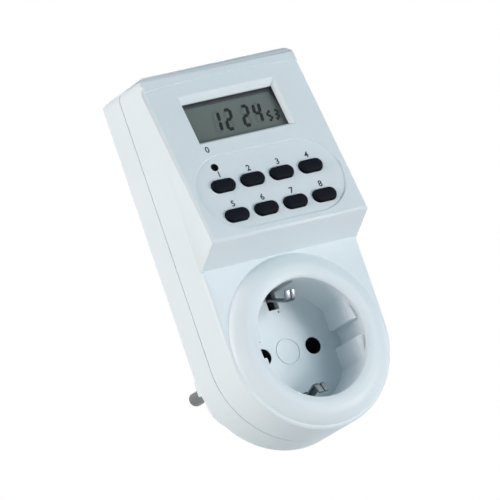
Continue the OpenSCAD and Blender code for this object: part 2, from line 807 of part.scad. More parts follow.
// One rubber button with its flange and foot
module button(i) {
    color(rubber) on_face(key_at[i][0], key_at[i][1]) {
        translate([0, 0, flange_back]) linear_extrude(key_proud - flange_back) stadium(key_l, key_w);
        translate([0, 0, flange_back]) linear_extrude(key_flange_t)
            stadium(key_l + 2 * key_flange, key_w + 2 * key_flange);
        translate([0, 0, key_foot]) linear_extrude(flange_back - key_foot + eps)
            stadium(key_l - 1.6, key_w - 1.2);
    }
}

module reset_button() {
    d = reset_d - 2 * key_gap;
    color(rubber) on_face(reset_at[0], reset_at[1]) {
        translate([0, 0, key_foot]) cylinder(d = d, h = panel_n - reset_deep - key_foot, $fn = 32);
        translate([0, 0, flange_back]) cylinder(d = d + 2 * key_flange, h = key_flange_t, $fn = 32);
    }
}

module control_board() {
    color(board_green) difference() {
        on_face(s = (control_s + control_top) / 2, n = control_back)
            linear_extrude(board_t) square([control_w, control_top - control_s], center = true);
        for (p = control_screw_at) on_face(p[0], p[1], control_back - board_t)
            cylinder(d = small_d + 2 * board_screw_gap, h = 3 * board_t, $fn = 32);
    }
}

module control_board_screws() {
    color(steel) for (p = control_screw_at) on_face(p[0], p[1], control_back) rotate([-90, 0, 0])
        screw_y(small_d, small_head_d, small_head_h, board_t + small_grip);
}

module chip_cap() {
    color(rubber) on_face(chip_at[0], chip_at[1], control_back) mirror([0, 0, 1]) {
        cylinder(d = chip_d, h = chip_h / 2);
        translate([0, 0, chip_h / 2]) cylinder(d1 = chip_d, d2 = chip_d - 4, h = chip_h / 2);
    }
}

module clock_crystal() {
    color(steel) on_face(crystal_at[0], crystal_at[1], control_back - crystal_d / 2) {
        rotate([0, 90, 0]) cylinder(d = crystal_d, h = crystal_l, center = true);
        for (s = [-0.5, 0.5]) translate([-crystal_l / 2, s, 0]) rotate([0, -90, 0])
            cylinder(d = 0.35, h = 2, $fn = 16);
        for (s = [-0.5, 0.5]) translate([-crystal_l / 2 - 2, s, -0.17])
            cylinder(d = 0.35, h = crystal_d / 2 + 0.17, $fn = 16);
    }
}

module backup_cell() {
    color(steel) on_face(cell_at[0], cell_at[1], control_back - tab_t - cell_t)
        cylinder(d = cell_d, h = cell_t);
}

// Two tabs: one under the cell, one over it that steps down to the board
module cell_tabs() {
    side = cell_d / 2 + tab_gap;
    top = control_back - tab_t - cell_t;
    color(brass) {
        on_face(cell_at[0], cell_at[1], control_back - tab_t)
            linear_extrude(tab_t) translate([-cell_d / 2 - tab_reach, -tab_w / 2]) square([cell_d, tab_w]);
        on_face(cell_at[0], cell_at[1] - tab_w / 2, 0) rotate([90, 0, 0]) mirror([0, 0, 1])
            linear_extrude(tab_w) polygon([[-tab_reach, top], [side, top], [side, control_back],
                [side + tab_t, control_back], [side + tab_t, top - tab_t], [-tab_reach, top - tab_t]]);
    }
}

module power_board() {
    color(board_green) difference() {
        along_y(power_front, power_back) translate([-power_w / 2, power_z])
            square([power_w, power_top - power_z]);
        for (p = power_screw_at)
            rod_y(p[0], p[1], small_d / 2 + board_screw_gap, power_front - 1, power_back + 1);
    }
}

module power_board_screws() {
    color(steel) for (p = power_screw_at) translate([p[0], power_front, p[1]]) mirror([0, 1, 0])
        screw_y(small_d, small_head_d, small_head_h, board_t + small_grip);
}

// Places children on the power board: X across, Y up, Z out toward the front
module on_power(p) {
    translate([p[0], power_front, p[1]]) rotate([90, 0, 0]) children();
}

module relay_base() {
    color("dimgray") on_power(relay_at) difference() {
        linear_extrude(relay_base_t) square([relay_l, relay_w], center = true);
        translate([0, 0, relay_base_t - 0.6]) linear_extrude(1)
            square([relay_l - 2 * relay_wall - 6, relay_w - 2 * relay_wall - 4], center = true);
    }
}

module relay_cover() {
    color("royalblue") on_power(relay_at) difference() {
        translate([0, 0, relay_base_t]) linear_extrude(relay_h - relay_base_t)
            square([relay_l, relay_w], center = true);
        translate([0, 0, relay_base_t - 1]) linear_extrude(relay_h - relay_base_t - relay_wall + 1)
            square([relay_l - 2 * relay_wall, relay_w - 2 * relay_wall], center = true);
    }
}

// Coil lying on the relay's base, with its iron yoke at the far end
coil_x = -relay_l / 2 + relay_wall + 2;
coil_n = relay_base_t + coil_d / 2 + 0.2;
core_d = 3;
core_out = 1.5;
yoke_t = 1.2;
module relay_coil() {
    color("sienna") on_power(relay_at) {
        translate([coil_x, 0, coil_n]) rotate([0, 90, 0]) {
            cylinder(d = coil_d, h = coil_l);
            cylinder(d = core_d, h = coil_l + core_out);
        }
        translate([coil_x - yoke_t, -coil_d / 2 + 0.5, relay_base_t]) cube([yoke_t, coil_d - 1, coil_d]);
        translate([coil_x - yoke_t, -core_d, relay_base_t]) cube([coil_l + yoke_t, 2 * core_d, 1]);
    }
}

// Armature plate that rocks on its foot until it all but meets the core
pivot_n = relay_base_t + 0.2;
armature_x = coil_x + coil_l + core_out + (coil_n - pivot_n + core_d / 2) * sin(armature_swing) + 0.03;
module relay_armature() {
    color(steel) on_power(relay_at) {
        translate([armature_x, -coil_d / 2 + 0.8, pivot_n])
            cube([1, coil_d - 1.6, coil_d - 0.4]);
        translate([armature_x, -0.6, relay_base_t + coil_d - 0.8]) cube([4, 1.2, 0.6]);
    }
}

module film_capacitor() {
    color("gold") on_power(film_at) linear_extrude(film_h) square([film_l, film_w], center = true);
}

module electrolytic_capacitors() {
    color("midnightblue") for (p = can_at) on_power(p) {
        cylinder(d = can_d - 0.4, h = 1);
        translate([0, 0, 0.8]) cylinder(d = can_d, h = can_h - 0.8);
    }
}

// A part with two leads that bend down to the board, lying along X
module axial(d, l, reach) {
    translate([-l / 2, 0, d / 2 + 0.4]) rotate([0, 90, 0]) cylinder(d = d, h = l, $fn = 32);
    for (x = [-1, 1]) {
        translate([x * (l / 2 + reach / 2), 0, d / 2 + 0.4]) rotate([0, 90, 0])
            cylinder(d = lead_d, h = reach + lead_d, center = true, $fn = 16);
        translate([x * (l / 2 + reach), 0, 0]) cylinder(d = lead_d, h = d / 2 + 0.4, $fn = 16);
    }
}

module diodes() {
    color(rubber) for (p = diode_at) on_power(p) rotate([0, 0, 90]) axial(diode_d, diode_l, 1.6);
}

module resistors() {
    color("tan") for (p = resistor_at) on_power(p) axial(resistor_d, resistor_l, 1.4);
}

module fuse() {
    color("lightgray") on_power(fuse_at) axial(fuse_d, fuse_l, 1.2);
}

module varistor() {
    color("steelblue") on_power(varistor_at) {
        translate([0, 0, varistor_d / 2 + 1.2]) rotate([0, 90, 0])
            cylinder(d = varistor_d, h = varistor_t, center = true);
        for (y = [-2.5, 2.5]) translate([0, y, 0]) cylinder(d = lead_d, h = 3, $fn = 16);
    }
}

module headers() {
    color("white") {
        on_face(0, header_s, control_back) mirror([0, 0, 1]) linear_extrude(header_h)
            square([header_l, header_h], center = true);
        on_power([0, header_z]) linear_extrude(header_h) square([header_l, header_h], center = true);
    }
}

module ribbon_cable() {
    start = face_point(header_s, control_back - header_h)[0] + ribbon_t / 2 * sin(tilt) + 0.25;
    color("lightgray") along_y(start, power_front - header_h) for (i = [-4:4])
        translate([i * header_l / 11, header_z]) square([header_l / 11 + eps, ribbon_t], center = true);
}

// A solid round pin with a domed tip, a root and flange held by the plug face, and a riveted stud
module plug_pin(x) {
    color(steel) {
        rod_y(x, 0, root_d / 2, plug_in, 0);
        rod_y(x, 0, pin_d / 2, 0, pin_l - pin_d / 2);
        translate([x, pin_l - pin_d / 2, 0]) intersection() {
            sphere(d = pin_d);
            translate([-pin_d, -eps, -pin_d]) cube([2 * pin_d, pin_d, 2 * pin_d]);
        }
        rod_y(x, 0, flange_d / 2, plug_in - flange_t, plug_in);
        rod_y(x, 0, stud_d / 2, stud_back, plug_in - flange_t);
        rod_y(x, 0, stud_d / 2 + pin_head, stud_back - pin_head, stud_back);
    }
}

module plug_pin_line() {
    plug_pin(-pin_pitch / 2);
}

module plug_pin_neutral() {
    plug_pin(pin_pitch / 2);
}

// Two sprung leaves on a base, and a tab that reaches one side as far as reach
module socket_contact(x, reach) {
    wide = leaf_gap / 2 + 1;
    color(brass) translate([x, 0, 0]) {
        for (side = [-1, 1]) translate([0, 0, -leaf_w / 2]) linear_extrude(leaf_w)
            bent_strip([[side * wide, leaf_back], [side * wide, leaf_back - 4],
                [side * (leaf_gap / 2 + leaf_t / 2), grip_y], [side * (wide - 0.1), leaf_front]], leaf_t);
        translate([-wide - leaf_t / 2, leaf_back - eps, -leaf_w / 2])
            cube([2 * wide + leaf_t, leaf_t, leaf_w]);
        translate([-bar_w / 2, leaf_back, min(0, reach)]) cube([bar_w, leaf_t, abs(reach)]);
    }
}

module socket_contact_line() {
    socket_contact(-pin_pitch / 2, -bar_rise);
}

module socket_contact_neutral() {
    socket_contact(pin_pitch / 2, bar_rise);
}

// Bar from a pin's stud, forward through the boss and up to the power board
module pin_bar(x) {
    color(brass) difference() {
        translate([x - bar_w / 2, 0, 0]) union() {
            translate([0, stud_back, -stud_d / 2 - 1])
                cube([bar_w, bar_t, bar_rise + bar_t + stud_d / 2 + 1]);
            translate([0, power_back, bar_rise]) cube([bar_w, stud_back - power_back + eps, bar_t]);
            translate([0, power_back, bar_rise]) cube([bar_w, bar_t, bar_top - bar_rise]);
        }
        rod_y(x, 0, stud_d / 2 + fit_gap, stud_back - 1, plug_in);
    }
}

module bar_line_in() {
    pin_bar(-pin_pitch / 2);
}

module bar_neutral() {
    pin_bar(pin_pitch / 2);
}

// Bar from the line contact round the side and up to the relay's output
module bar_line_out() {
    x = -pin_pitch / 2;
    color(brass) {
        translate([x - bar_w / 2, power_back, -bar_rise - bar_t])
            cube([bar_w, leaf_back + leaf_t - power_back, bar_t]);
        along_y(power_back, bar_front) polygon([[x + bar_w / 2, -bar_rise - bar_t],
            [x + bar_w / 2, -bar_rise + bar_w - bar_t], [out_x + bar_w / 2, -bar_rise + bar_w - bar_t],
            [out_x + bar_w / 2, bar_top], [out_x - bar_w / 2, bar_top],
            [out_x - bar_w / 2, -bar_rise - bar_t]]);
    }
}

// Strap across the back of the socket floor, bent forward into the two clips of the recess
module earth_strap_front() {
    z = recess_r - clip_root;
    bend = crest_y + clip_in;
    path = [[strap_y + clip_t / 2, z], [floor_y - 0.8, z],
        [bend, clip_z + clip_t / 2], [bend - 0.7, clip_z + clip_t], [bend - 2, z]];
    color(steel) difference() {
        along_x(-clip_w / 2, clip_w / 2) bent_strip(both_ends(path), clip_t);
        rod_y(0, 0, rivet_r + fit_gap, strap_y - 1, strap_y + clip_t + 1);
    }
}

// Strap behind it, bent back along the boss into the plug's two earth contacts
module earth_strap_rear() {
    z = earth_z - clip_t / 2;
    path = [[strap_y + 1.5 * clip_t, z], [plug_in - fit_gap, z]];
    color(steel) difference() {
        along_x(-earth_w / 2, earth_w / 2) bent_strip(both_ends(path), clip_t);
        rod_y(0, 0, rivet_r + fit_gap, strap_y - 1, strap_y + 2 * clip_t + 1);
    }
}

module earth_rivet() {
    color(brass) {
        rod_y(0, 0, rivet_r, strap_y, strap_y + 2 * clip_t + 3);
        rod_y(0, 0, rivet_head_r, strap_y - rivet_head_t, strap_y);
    }
}

front_cover();
rear_cover();
housing_screws();
display_window();
display_glass();
display_reflector();
display_holder();
elastomer_strips();
keypad_mat();
button(0);  // button_week
button(1);  // button_hour
button(2);  // button_minute
button(3);  // button_recall
button(4);  // button_clock
button(5);  // button_timer
button(6);  // button_mode
button(7);  // button_random
reset_button();
control_board();
control_board_screws();
chip_cap();
clock_crystal();
backup_cell();
cell_tabs();
power_board();
power_board_screws();
relay_base();
relay_cover();
relay_coil();
relay_armature();
film_capacitor();
electrolytic_capacitors();
diodes();
resistors();
varistor();
fuse();
headers();
ribbon_cable();
plug_pin_line();
plug_pin_neutral();
socket_contact_line();
socket_contact_neutral();
bar_line_in();
bar_line_out();
bar_neutral();
earth_strap_front();
earth_strap_rear();
earth_rivet();
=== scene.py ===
# %% [markdown]
# # Dressing a plug-in timer switch
# The solids of a small mains timer come in as a fixed frame, in metres: X to the right, Y into the
# wall, Z up, with the origin in the middle of the plug face. Everything made here lies in that frame,
# so a piece goes where the solids say and is never fitted by eye.

# %% Load the frame
import json
import math
import bpy
import bmesh
from mathutils import Matrix, Vector

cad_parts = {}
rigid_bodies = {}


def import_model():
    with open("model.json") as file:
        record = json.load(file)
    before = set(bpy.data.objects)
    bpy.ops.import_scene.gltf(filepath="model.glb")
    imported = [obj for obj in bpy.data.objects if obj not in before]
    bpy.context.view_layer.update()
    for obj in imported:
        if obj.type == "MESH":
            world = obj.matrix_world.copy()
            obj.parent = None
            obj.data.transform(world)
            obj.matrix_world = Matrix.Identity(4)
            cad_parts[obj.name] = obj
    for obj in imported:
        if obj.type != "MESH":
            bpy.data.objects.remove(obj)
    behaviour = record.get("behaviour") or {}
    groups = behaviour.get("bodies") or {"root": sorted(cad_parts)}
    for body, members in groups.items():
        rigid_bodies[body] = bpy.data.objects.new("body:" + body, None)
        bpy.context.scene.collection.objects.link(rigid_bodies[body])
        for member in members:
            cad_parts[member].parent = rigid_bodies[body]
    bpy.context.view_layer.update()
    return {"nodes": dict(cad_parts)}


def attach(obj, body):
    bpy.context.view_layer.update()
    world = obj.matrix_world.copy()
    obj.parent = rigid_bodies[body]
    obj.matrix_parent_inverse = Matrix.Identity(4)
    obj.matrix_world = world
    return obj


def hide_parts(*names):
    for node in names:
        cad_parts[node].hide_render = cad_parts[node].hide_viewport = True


for thing in list(bpy.data.objects):
    bpy.data.objects.remove(thing)
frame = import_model()
nodes = frame["nodes"]
MM = 0.001


def stand(name, data):
    """A new object in the scene that carries this mesh, curve, lamp or camera."""
    obj = bpy.data.objects.new(name, data)
    bpy.context.scene.collection.objects.link(obj)
    return obj


# %% [markdown]
# ## The sloping face
# Display and buttons lie on a face that leans back. One matrix takes a place on that face (across, up
# the slope, outward, in millimetres) into the frame, and every later cell uses it.

# %% Places on the sloping face
LEAN = math.radians(11.9)
FACE_Y, FACE_Z = -0.0567, 0.0349
FACE = Matrix.Translation((0, FACE_Y, FACE_Z)) @ Matrix.Rotation(math.pi / 2 - LEAN, 4, "X")
FACE = FACE @ Matrix.Scale(MM, 4)
KEY_PITCH, KEY_LOW, KEY_ROWS = 11.1, 7.5, 10.8
KEY_AT = [((i - 1.5) * KEY_PITCH, KEY_LOW + row * KEY_ROWS) for row in (1, 0) for i in range(4)]
RESET_AT = (-1.5 * KEY_PITCH, KEY_LOW + KEY_ROWS + 6.8)
PANEL_DEPTH = 0.5
print("buttons at", [(round(x, 2), round(s, 2)) for x, s in KEY_AT])

# %% [markdown]
# ## Camera
# A long lens from well away keeps the object's verticals almost parallel. The three directions are
# made exactly square to each other before they become the camera's matrix.

# %% Camera
FOCAL_PIXELS, IMAGE_PIXELS, SENSOR = 7057.235, 500, 36
ahead = Vector((0.523462, 0.837574, 0.156390)).normalized()
across = Vector((0.829328, -0.458744, -0.319013))
across = (across - ahead * across.dot(ahead)).normalized()
upward = across.cross(ahead)
camera = stand("camera", bpy.data.cameras.new("camera"))
turn = Matrix((across, upward, -ahead)).transposed().to_4x4()
camera.matrix_world = Matrix.Translation((-1.178574, -1.914279, -0.316914)) @ turn
camera.data.sensor_width = SENSOR
camera.data.lens = FOCAL_PIXELS / IMAGE_PIXELS * SENSOR
camera.data.clip_start, camera.data.clip_end = 0.05, 20
bpy.context.scene.camera = camera
bpy.context.scene.view_settings.view_transform = "Standard"
print("lens", round(camera.data.lens, 1), "mm")

# %% [markdown]
# ## Shader maths
# A material is a small program. `Signal` wraps the output of a node, so that `1 - mask * 0.3` adds the
# Math nodes by itself, and `Finish.node` adds any other kind of node in one line.

# %% Signal and Finish
def plug(tree, socket, value):
    if isinstance(value, Signal):
        tree.links.new(value.socket, socket)
    elif value is not None:
        socket.default_value = value


class Signal:
    def __init__(self, tree, socket):
        self.tree, self.socket = tree, socket

    def maths(self, kind, *values):
        made = self.tree.nodes.new("ShaderNodeMath")
        made.operation = kind
        for socket, value in zip(made.inputs, values):
            plug(self.tree, socket, value)
        return Signal(self.tree, made.outputs[0])

    def __add__(self, other): return self.maths("ADD", self, other)
    def __radd__(self, other): return self.maths("ADD", other, self)
    def __sub__(self, other): return self.maths("SUBTRACT", self, other)
    def __rsub__(self, other): return self.maths("SUBTRACT", other, self)
    def __mul__(self, other): return self.maths("MULTIPLY", self, other)
    def __rmul__(self, other): return self.maths("MULTIPLY", other, self)
    def __lt__(self, other): return self.maths("LESS_THAN", self, other)
    def __gt__(self, other): return self.maths("GREATER_THAN", self, other)
    def __mod__(self, other): return self.maths("FLOORED_MODULO", self, other)


def srgb(r, g, b):
    linear = [c / 12.92 if c <= 0.04045 else ((c + 0.055) / 1.055) ** 2.4 for c in (r / 255, g / 255, b / 255)]
    return (*linear, 1)


class Finish:
    def __init__(self, name):
        self.material = bpy.data.materials.new(name)
        self.material.use_nodes = True
        self.tree = self.material.node_tree
        self.tree.nodes.clear()
        self.place = self.node("ShaderNodeTexCoord", out="Object")

    def node(self, kind, settings=None, out=0, **values):
        made = self.tree.nodes.new(kind)
        for name, value in (settings or {}).items():
            setattr(made, name, value)
        for name, value in values.items():
            plug(self.tree, made.inputs[name.replace("_", " ")], value)
        return Signal(self.tree, made.outputs[out]) if made.outputs else None

    def noise(self, scale, detail=2.0, place=None):
        return self.node("ShaderNodeTexNoise", Vector=place or self.place, Scale=scale, Detail=detail)

    def blend(self, mask, low, high):
        made = self.tree.nodes.new("ShaderNodeMix")
        made.data_type = "RGBA"
        for socket, value in ((made.inputs[0], mask), (made.inputs[6], low), (made.inputs[7], high)):
            plug(self.tree, socket, value)
        return Signal(self.tree, made.outputs[2])

    def axis(self, name):
        return self.node("ShaderNodeSeparateXYZ", out=name, Vector=self.place)

    def bump(self, height, depth, strength=1.0):
        return self.node("ShaderNodeBump", Height=height, Distance=depth, Strength=strength)

    def close(self, **values):
        surface = self.node("ShaderNodeBsdfPrincipled", **values)
        self.node("ShaderNodeOutputMaterial", Surface=surface)
        return self.material


print("shader helpers ready")

# %% [markdown]
# ## Moulded plastic
# The housing is pale ABS with a satin skin. A real moulding is never perfectly even: the colour drifts
# a little with the flow of the plastic, the polish of the tool varies, and a fine grain breaks up the
# reflections. All three come from noise at their own scale. The front cover also gets painted shade:
# the walls of the pin holes and of the reset hole are painted dark, and so is the small pit that the
# gate of the tool left.

# %% Satin plastic
def moulded(name, low, high, rough, grain=4000, depth=0.000006, gloss=0.5, dark=None):
    f = Finish(name)
    flow = f.noise(60, 3)
    skin = f.noise(grain, 2)
    colour = f.blend(flow, low, high)
    if dark:
        # Painted shade: this dark colour stands in for the shade inside holes, where the mask says.
        colour = f.blend(dark(f), colour, srgb(26, 29, 33))
    return f.close(Base_Color=colour, Roughness=rough - 0.04 + 0.08 * flow + 0.04 * skin,
                   Normal=f.bump(skin, depth, 0.6), IOR=1.5, Specular_IOR_Level=gloss)


PIN_X, HOLE_R, HOLE_MOUTH, HOLE_END = 0.0095, 0.00284, -0.03058, -0.0279
RESET_R, RESET_MOUTH, RESET_END = 0.00135, -0.00012, -0.004
PIT_R, PIT_X, PIT_Z, PIT_MOUTH, PIT_END = 0.00036, 0.00124, 0.01315, -0.0309, -0.0300


def holes_and_pit(f):
    """Painted shade: 1 on the walls of the pin holes and of the reset hole, a little less in the gate's pit."""
    x, y, z = f.axis("X"), f.axis("Y"), f.axis("Z")
    to_hole = x.maths("ABSOLUTE", x) - PIN_X
    in_hole = (to_hole * to_hole + z * z) < HOLE_R ** 2
    behind = (y > HOLE_MOUTH) * (y < HOLE_END)
    up = (z - FACE_Z) * math.cos(LEAN) + (y - FACE_Y) * math.sin(LEAN)
    out = (z - FACE_Z) * math.sin(LEAN) - (y - FACE_Y) * math.cos(LEAN)
    reset_x, reset_up = x - RESET_AT[0] * MM, up - RESET_AT[1] * MM
    in_reset = (reset_x * reset_x + reset_up * reset_up) < RESET_R ** 2
    in_reset = in_reset * (out < RESET_MOUTH) * (out > RESET_END)
    off_x, off_z = x - PIT_X, z - PIT_Z
    pit = ((off_x * off_x + off_z * off_z) < PIT_R ** 2) * (y > PIT_MOUTH) * (y < PIT_END)
    return x.maths("MAXIMUM", in_reset, x.maths("MAXIMUM", in_hole * behind, pit * 0.8))


shell = moulded("satin_abs", srgb(220, 229, 234), srgb(226, 233, 238), 0.42)
# The front cover's plastic carries the painted shade inside its holes and its pit.
front_shell = moulded("satin_abs_front", srgb(220, 229, 234), srgb(226, 233, 238), 0.42, dark=holes_and_pit)
holder_white = moulded("holder_white", srgb(226, 228, 226), srgb(234, 235, 232), 0.5)
rubber = moulded("button_rubber", srgb(2, 6, 15), srgb(5, 10, 22), 0.5, 6000, 0.00001, gloss=0.08)
print(shell.name, front_shell.name, holder_white.name, rubber.name)

# %% [markdown]
# ## Metals
# Stamped and turned metal carries fine marks of its making. A noise stretched along one direction
# gives them, and it drives colour, roughness and a shallow bump together.

# %% Metals
def metal(name, low, high, rough, stretch=(300, 6000, 300)):
    f = Finish(name)
    long_way = f.node("ShaderNodeMapping", Vector=f.place, Scale=stretch)
    marks = f.noise(1.0, 3, long_way)
    stain = f.noise(250, 2)
    return f.close(Base_Color=f.blend(stain, low, high), Metallic=1.0,
                   Roughness=rough - 0.08 + 0.16 * marks + 0.08 * stain, Normal=f.bump(marks, 0.000002, 0.5))


nickel = metal("spring_nickel", srgb(110, 117, 123), srgb(136, 143, 149), 0.32)
pin_metal = metal("turned_nickel", srgb(108, 110, 112), srgb(136, 137, 137), 0.36, (6000, 250, 6000))
steel = metal("screw_steel", srgb(172, 174, 178), srgb(190, 191, 194), 0.3, (900, 900, 900))
brass = metal("spring_brass", srgb(205, 176, 116), srgb(222, 194, 134), 0.28, (300, 300, 5000))
# Painted shade: the socket contacts are made nearly black to stand in for the shade deep inside the pin holes.
contact = metal("contacts_painted_shade", srgb(44, 38, 30), srgb(62, 54, 42), 0.62, (300, 300, 5000))
can_steel = metal("can_steel", srgb(186, 188, 190), srgb(204, 205, 206), 0.25, (2500, 300, 2500))
tinned = metal("tinned_bar", srgb(190, 184, 166), srgb(208, 202, 186), 0.32, (400, 3000, 400))
print("metals ready")

# %% [markdown]
# ## Display materials
# The clear window is thin acrylic, so it keeps its gloss and lets nearly everything through. Behind it
# the display glass is olive grey, and its segments print almost black on it. A dark band painted along
# the glass's top and right edge stands in for the shadow that the window's rim casts on the deeper glass.

# %% Display materials
def window_material():
    f = Finish("clear_acrylic")
    haze = f.noise(900, 2)
    return f.close(Base_Color=srgb(235, 240, 238), Alpha=0.04, Roughness=0.04 + 0.04 * haze, IOR=1.49,
                   Specular_IOR_Level=0.12)


# Where the painted shadow of the window's rim begins on the glass, in metres.
GLASS_TOP, GLASS_SIDE, GLASS_CORNER = 0.0478, 0.0162, 0.0483


def display_material():
    """Olive glass with a painted shadow along its top and right edge, cast by the window's rim onto the glass
    that lies deeper.
    """
    f = Finish("display_glass")
    cloud = f.noise(70, 2)
    fine = f.noise(5000, 1)
    tone = f.blend(cloud, srgb(105, 116, 112), srgb(112, 123, 118))
    up = (f.axis("Z") - FACE_Z) * math.cos(LEAN) + (f.axis("Y") - FACE_Y) * math.sin(LEAN)
    side = f.axis("X") - GLASS_SIDE - (GLASS_CORNER - up) * 0.2
    rim_shadow_reach = up.maths("MAXIMUM", up - GLASS_TOP, side)
    # Painted shadow of the window's rim: edge fades it in past its line, and deep makes it darker still towards
    # the rim.
    edge = f.node("ShaderNodeMapRange", Value=rim_shadow_reach, From_Min=-0.0001, From_Max=0.0002)
    deep = f.node("ShaderNodeMapRange", Value=rim_shadow_reach, From_Min=0.0002, From_Max=0.0012)
    tone = f.blend(edge, tone, f.blend(deep, srgb(76, 80, 86), srgb(48, 44, 52)))
    return f.close(Base_Color=tone, Roughness=0.32 + 0.1 * fine, IOR=1.45, Specular_IOR_Level=0.15)


def plain(name, low, high, rough, scale=600, **more):
    f = Finish(name)
    fleck = f.noise(scale, 3)
    return f.close(Base_Color=f.blend(fleck, low, high), Roughness=rough - 0.05 + 0.1 * fleck,
                   Normal=f.bump(fleck, 0.000004, 0.4), **more)


window_clear = window_material()
display_olive = display_material()
segment_ink = plain("segment_ink", srgb(5, 8, 12), srgb(11, 14, 18), 0.5, Specular_IOR_Level=0.03)
segment_ghost = plain("segment_ghost", srgb(92, 104, 98), srgb(96, 108, 101), 0.4, Specular_IOR_Level=0.15)
print_ink = plain("print_ink", srgb(24, 26, 32), srgb(36, 38, 44), 0.45, Specular_IOR_Level=0.3)
print("display materials ready")

# %% [markdown]
# ## Materials of the inner parts
# The boards, the relay and the small parts are seen once the housing is opened. Each gets the mark
# that tells it apart: copper tracks under green mask, turns of wire, coloured bands, striped rubber.

# %% Inner materials
def board_material():
    f = Finish("board_green")
    cells = f.node("ShaderNodeTexVoronoi", {"feature": "DISTANCE_TO_EDGE"}, Vector=f.place, Scale=320.0,
                   Randomness=0.35)
    track = cells < 0.16
    mask = f.noise(900, 2)
    green = f.blend(mask, srgb(26, 84, 50), srgb(34, 98, 60))
    return f.close(Base_Color=f.blend(track, green, srgb(58, 128, 74)), Roughness=0.34 + 0.12 * mask,
                   Normal=f.bump(track * 0.5 + mask * 0.1, 0.00002, 0.5))


def striped(name, low, high, axis, pitch, share, rough, **more):
    f = Finish(name)
    band = (f.axis(axis) % pitch) < pitch * share
    fleck = f.noise(1500, 2)
    return f.close(Base_Color=f.blend(band, low, high), Roughness=rough + 0.08 * fleck,
                   Normal=f.bump(fleck + band, 0.00001, 0.4), **more)


def ring_bands(name, body, stripe, pitch, rough):
    """Coloured rings round a body that lies along X with its middle at X = 0."""
    f = Finish(name)
    along = f.axis("X")
    band = (along % pitch) < pitch * 0.28
    near = (along * along) < 0.0000056
    return f.close(Base_Color=f.blend(band * near, body, stripe), Roughness=rough + 0.1 * f.noise(1200, 2))


board_green = board_material()
zebra = striped("striped_rubber", srgb(196, 178, 176), srgb(40, 38, 40), "X", 0.0005, 0.5, 0.55)
copper = striped("wound_copper", srgb(142, 70, 38), srgb(196, 108, 62), "X", 0.00038, 0.6, 0.3, Metallic=1.0)
ribbon = striped("ribbon_grey", srgb(150, 152, 154), srgb(176, 178, 180), "X", 0.002, 0.82, 0.45)
relay_blue = plain("relay_case", srgb(36, 92, 150), srgb(42, 102, 162), 0.25, 300)
relay_base_black = plain("relay_base_black", srgb(30, 32, 36), srgb(40, 42, 46), 0.45)
resin = plain("resin_black", srgb(16, 16, 17), srgb(26, 26, 27), 0.22, 200)
film_yellow = plain("film_yellow", srgb(214, 168, 52), srgb(226, 182, 70), 0.3, 260)
sleeve = plain("can_sleeve", srgb(22, 34, 58), srgb(30, 44, 72), 0.28)
tan_body = ring_bands("resistor_tan", srgb(204, 178, 132), srgb(120, 60, 34), 0.0021, 0.4)
varistor_blue = plain("varistor_blue", srgb(34, 74, 132), srgb(44, 88, 150), 0.35, 500)
ceramic = plain("fuse_ceramic", srgb(222, 216, 200), srgb(234, 230, 216), 0.4)
diode_black = plain("diode_black", srgb(24, 24, 26), srgb(36, 36, 38), 0.4)
foil = plain("reflector_foil", srgb(188, 190, 184), srgb(204, 206, 200), 0.35, 900, Metallic=0.6)
print(len(bpy.data.materials), "materials")

# %% [markdown]
# ## A finish for every solid
# A table gives each node of the frame its material. The mesh of a node is never touched, only its
# material slots.

# %% Give the nodes their finishes
FINISHES = {
    front_shell: ["front_cover"],
    shell: ["rear_cover"],
    steel: ["housing_screws", "control_board_screws", "power_board_screws", "cell_tabs"],
    window_clear: ["display_window"],
    display_olive: ["display_glass"],
    foil: ["display_reflector"],
    holder_white: ["display_holder"],
    zebra: ["elastomer_strips"],
    rubber: ["keypad_mat", "reset_button"] + ["button_" + n for n in (
        "week", "hour", "minute", "recall", "clock", "timer", "mode", "random")],
    board_green: ["control_board", "power_board"],
    resin: ["chip_cap"],
    can_steel: ["clock_crystal", "backup_cell", "relay_armature"],
    relay_base_black: ["relay_base", "headers"],
    relay_blue: ["relay_cover"],
    copper: ["relay_coil"],
    film_yellow: ["film_capacitor"],
    sleeve: ["electrolytic_capacitors"],
    diode_black: ["diodes"],
    tan_body: ["resistors"],
    varistor_blue: ["varistor"],
    ceramic: ["fuse"],
    ribbon: ["ribbon_cable"],
    pin_metal: ["plug_pin_line", "plug_pin_neutral"],
    contact: ["socket_contact_line", "socket_contact_neutral"],
    brass: ["earth_rivet"],
    tinned: ["bar_line_in", "bar_line_out", "bar_neutral"],
    nickel: ["earth_strap_front", "earth_strap_rear"],
}
for material, names in FINISHES.items():
    for name in names:
        nodes[name].data.materials.clear()
        nodes[name].data.materials.append(material)
left = sorted(set(nodes) - {n for names in FINISHES.values() for n in names})
print("finished", len(nodes) - len(left), "nodes, left over:", left)

# %% [markdown]
# ## Making a piece
# A new piece is a mesh with its place in its vertices. One helper makes the object, gives it smooth
# shading with sharp corners kept, and hands it to its body.

# %% Helpers for new pieces
def smooth(mesh, corner=30):
    mesh.polygons.foreach_set("use_smooth", [True] * len(mesh.polygons))
    mesh.set_sharp_from_angle(angle=math.radians(corner))


def piece(name, mesh, material, body="housing", stands_for=(), corner=30):
    obj = stand(name, mesh)
    if material:
        mesh.materials.clear()
        mesh.materials.append(material)
    smooth(mesh, corner)
    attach(obj, body)
    if stands_for:
        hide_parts(*stands_for)
    return obj


def mesh_of(name, points, faces):
    mesh = bpy.data.meshes.new(name)
    mesh.from_pydata([tuple(p) for p in points], [], faces)
    mesh.validate()
    work = bmesh.new()
    work.from_mesh(mesh)
    bmesh.ops.remove_doubles(work, verts=work.verts, dist=1e-7)
    bmesh.ops.recalc_face_normals(work, faces=work.faces)
    work.to_mesh(mesh)
    work.free()
    return mesh


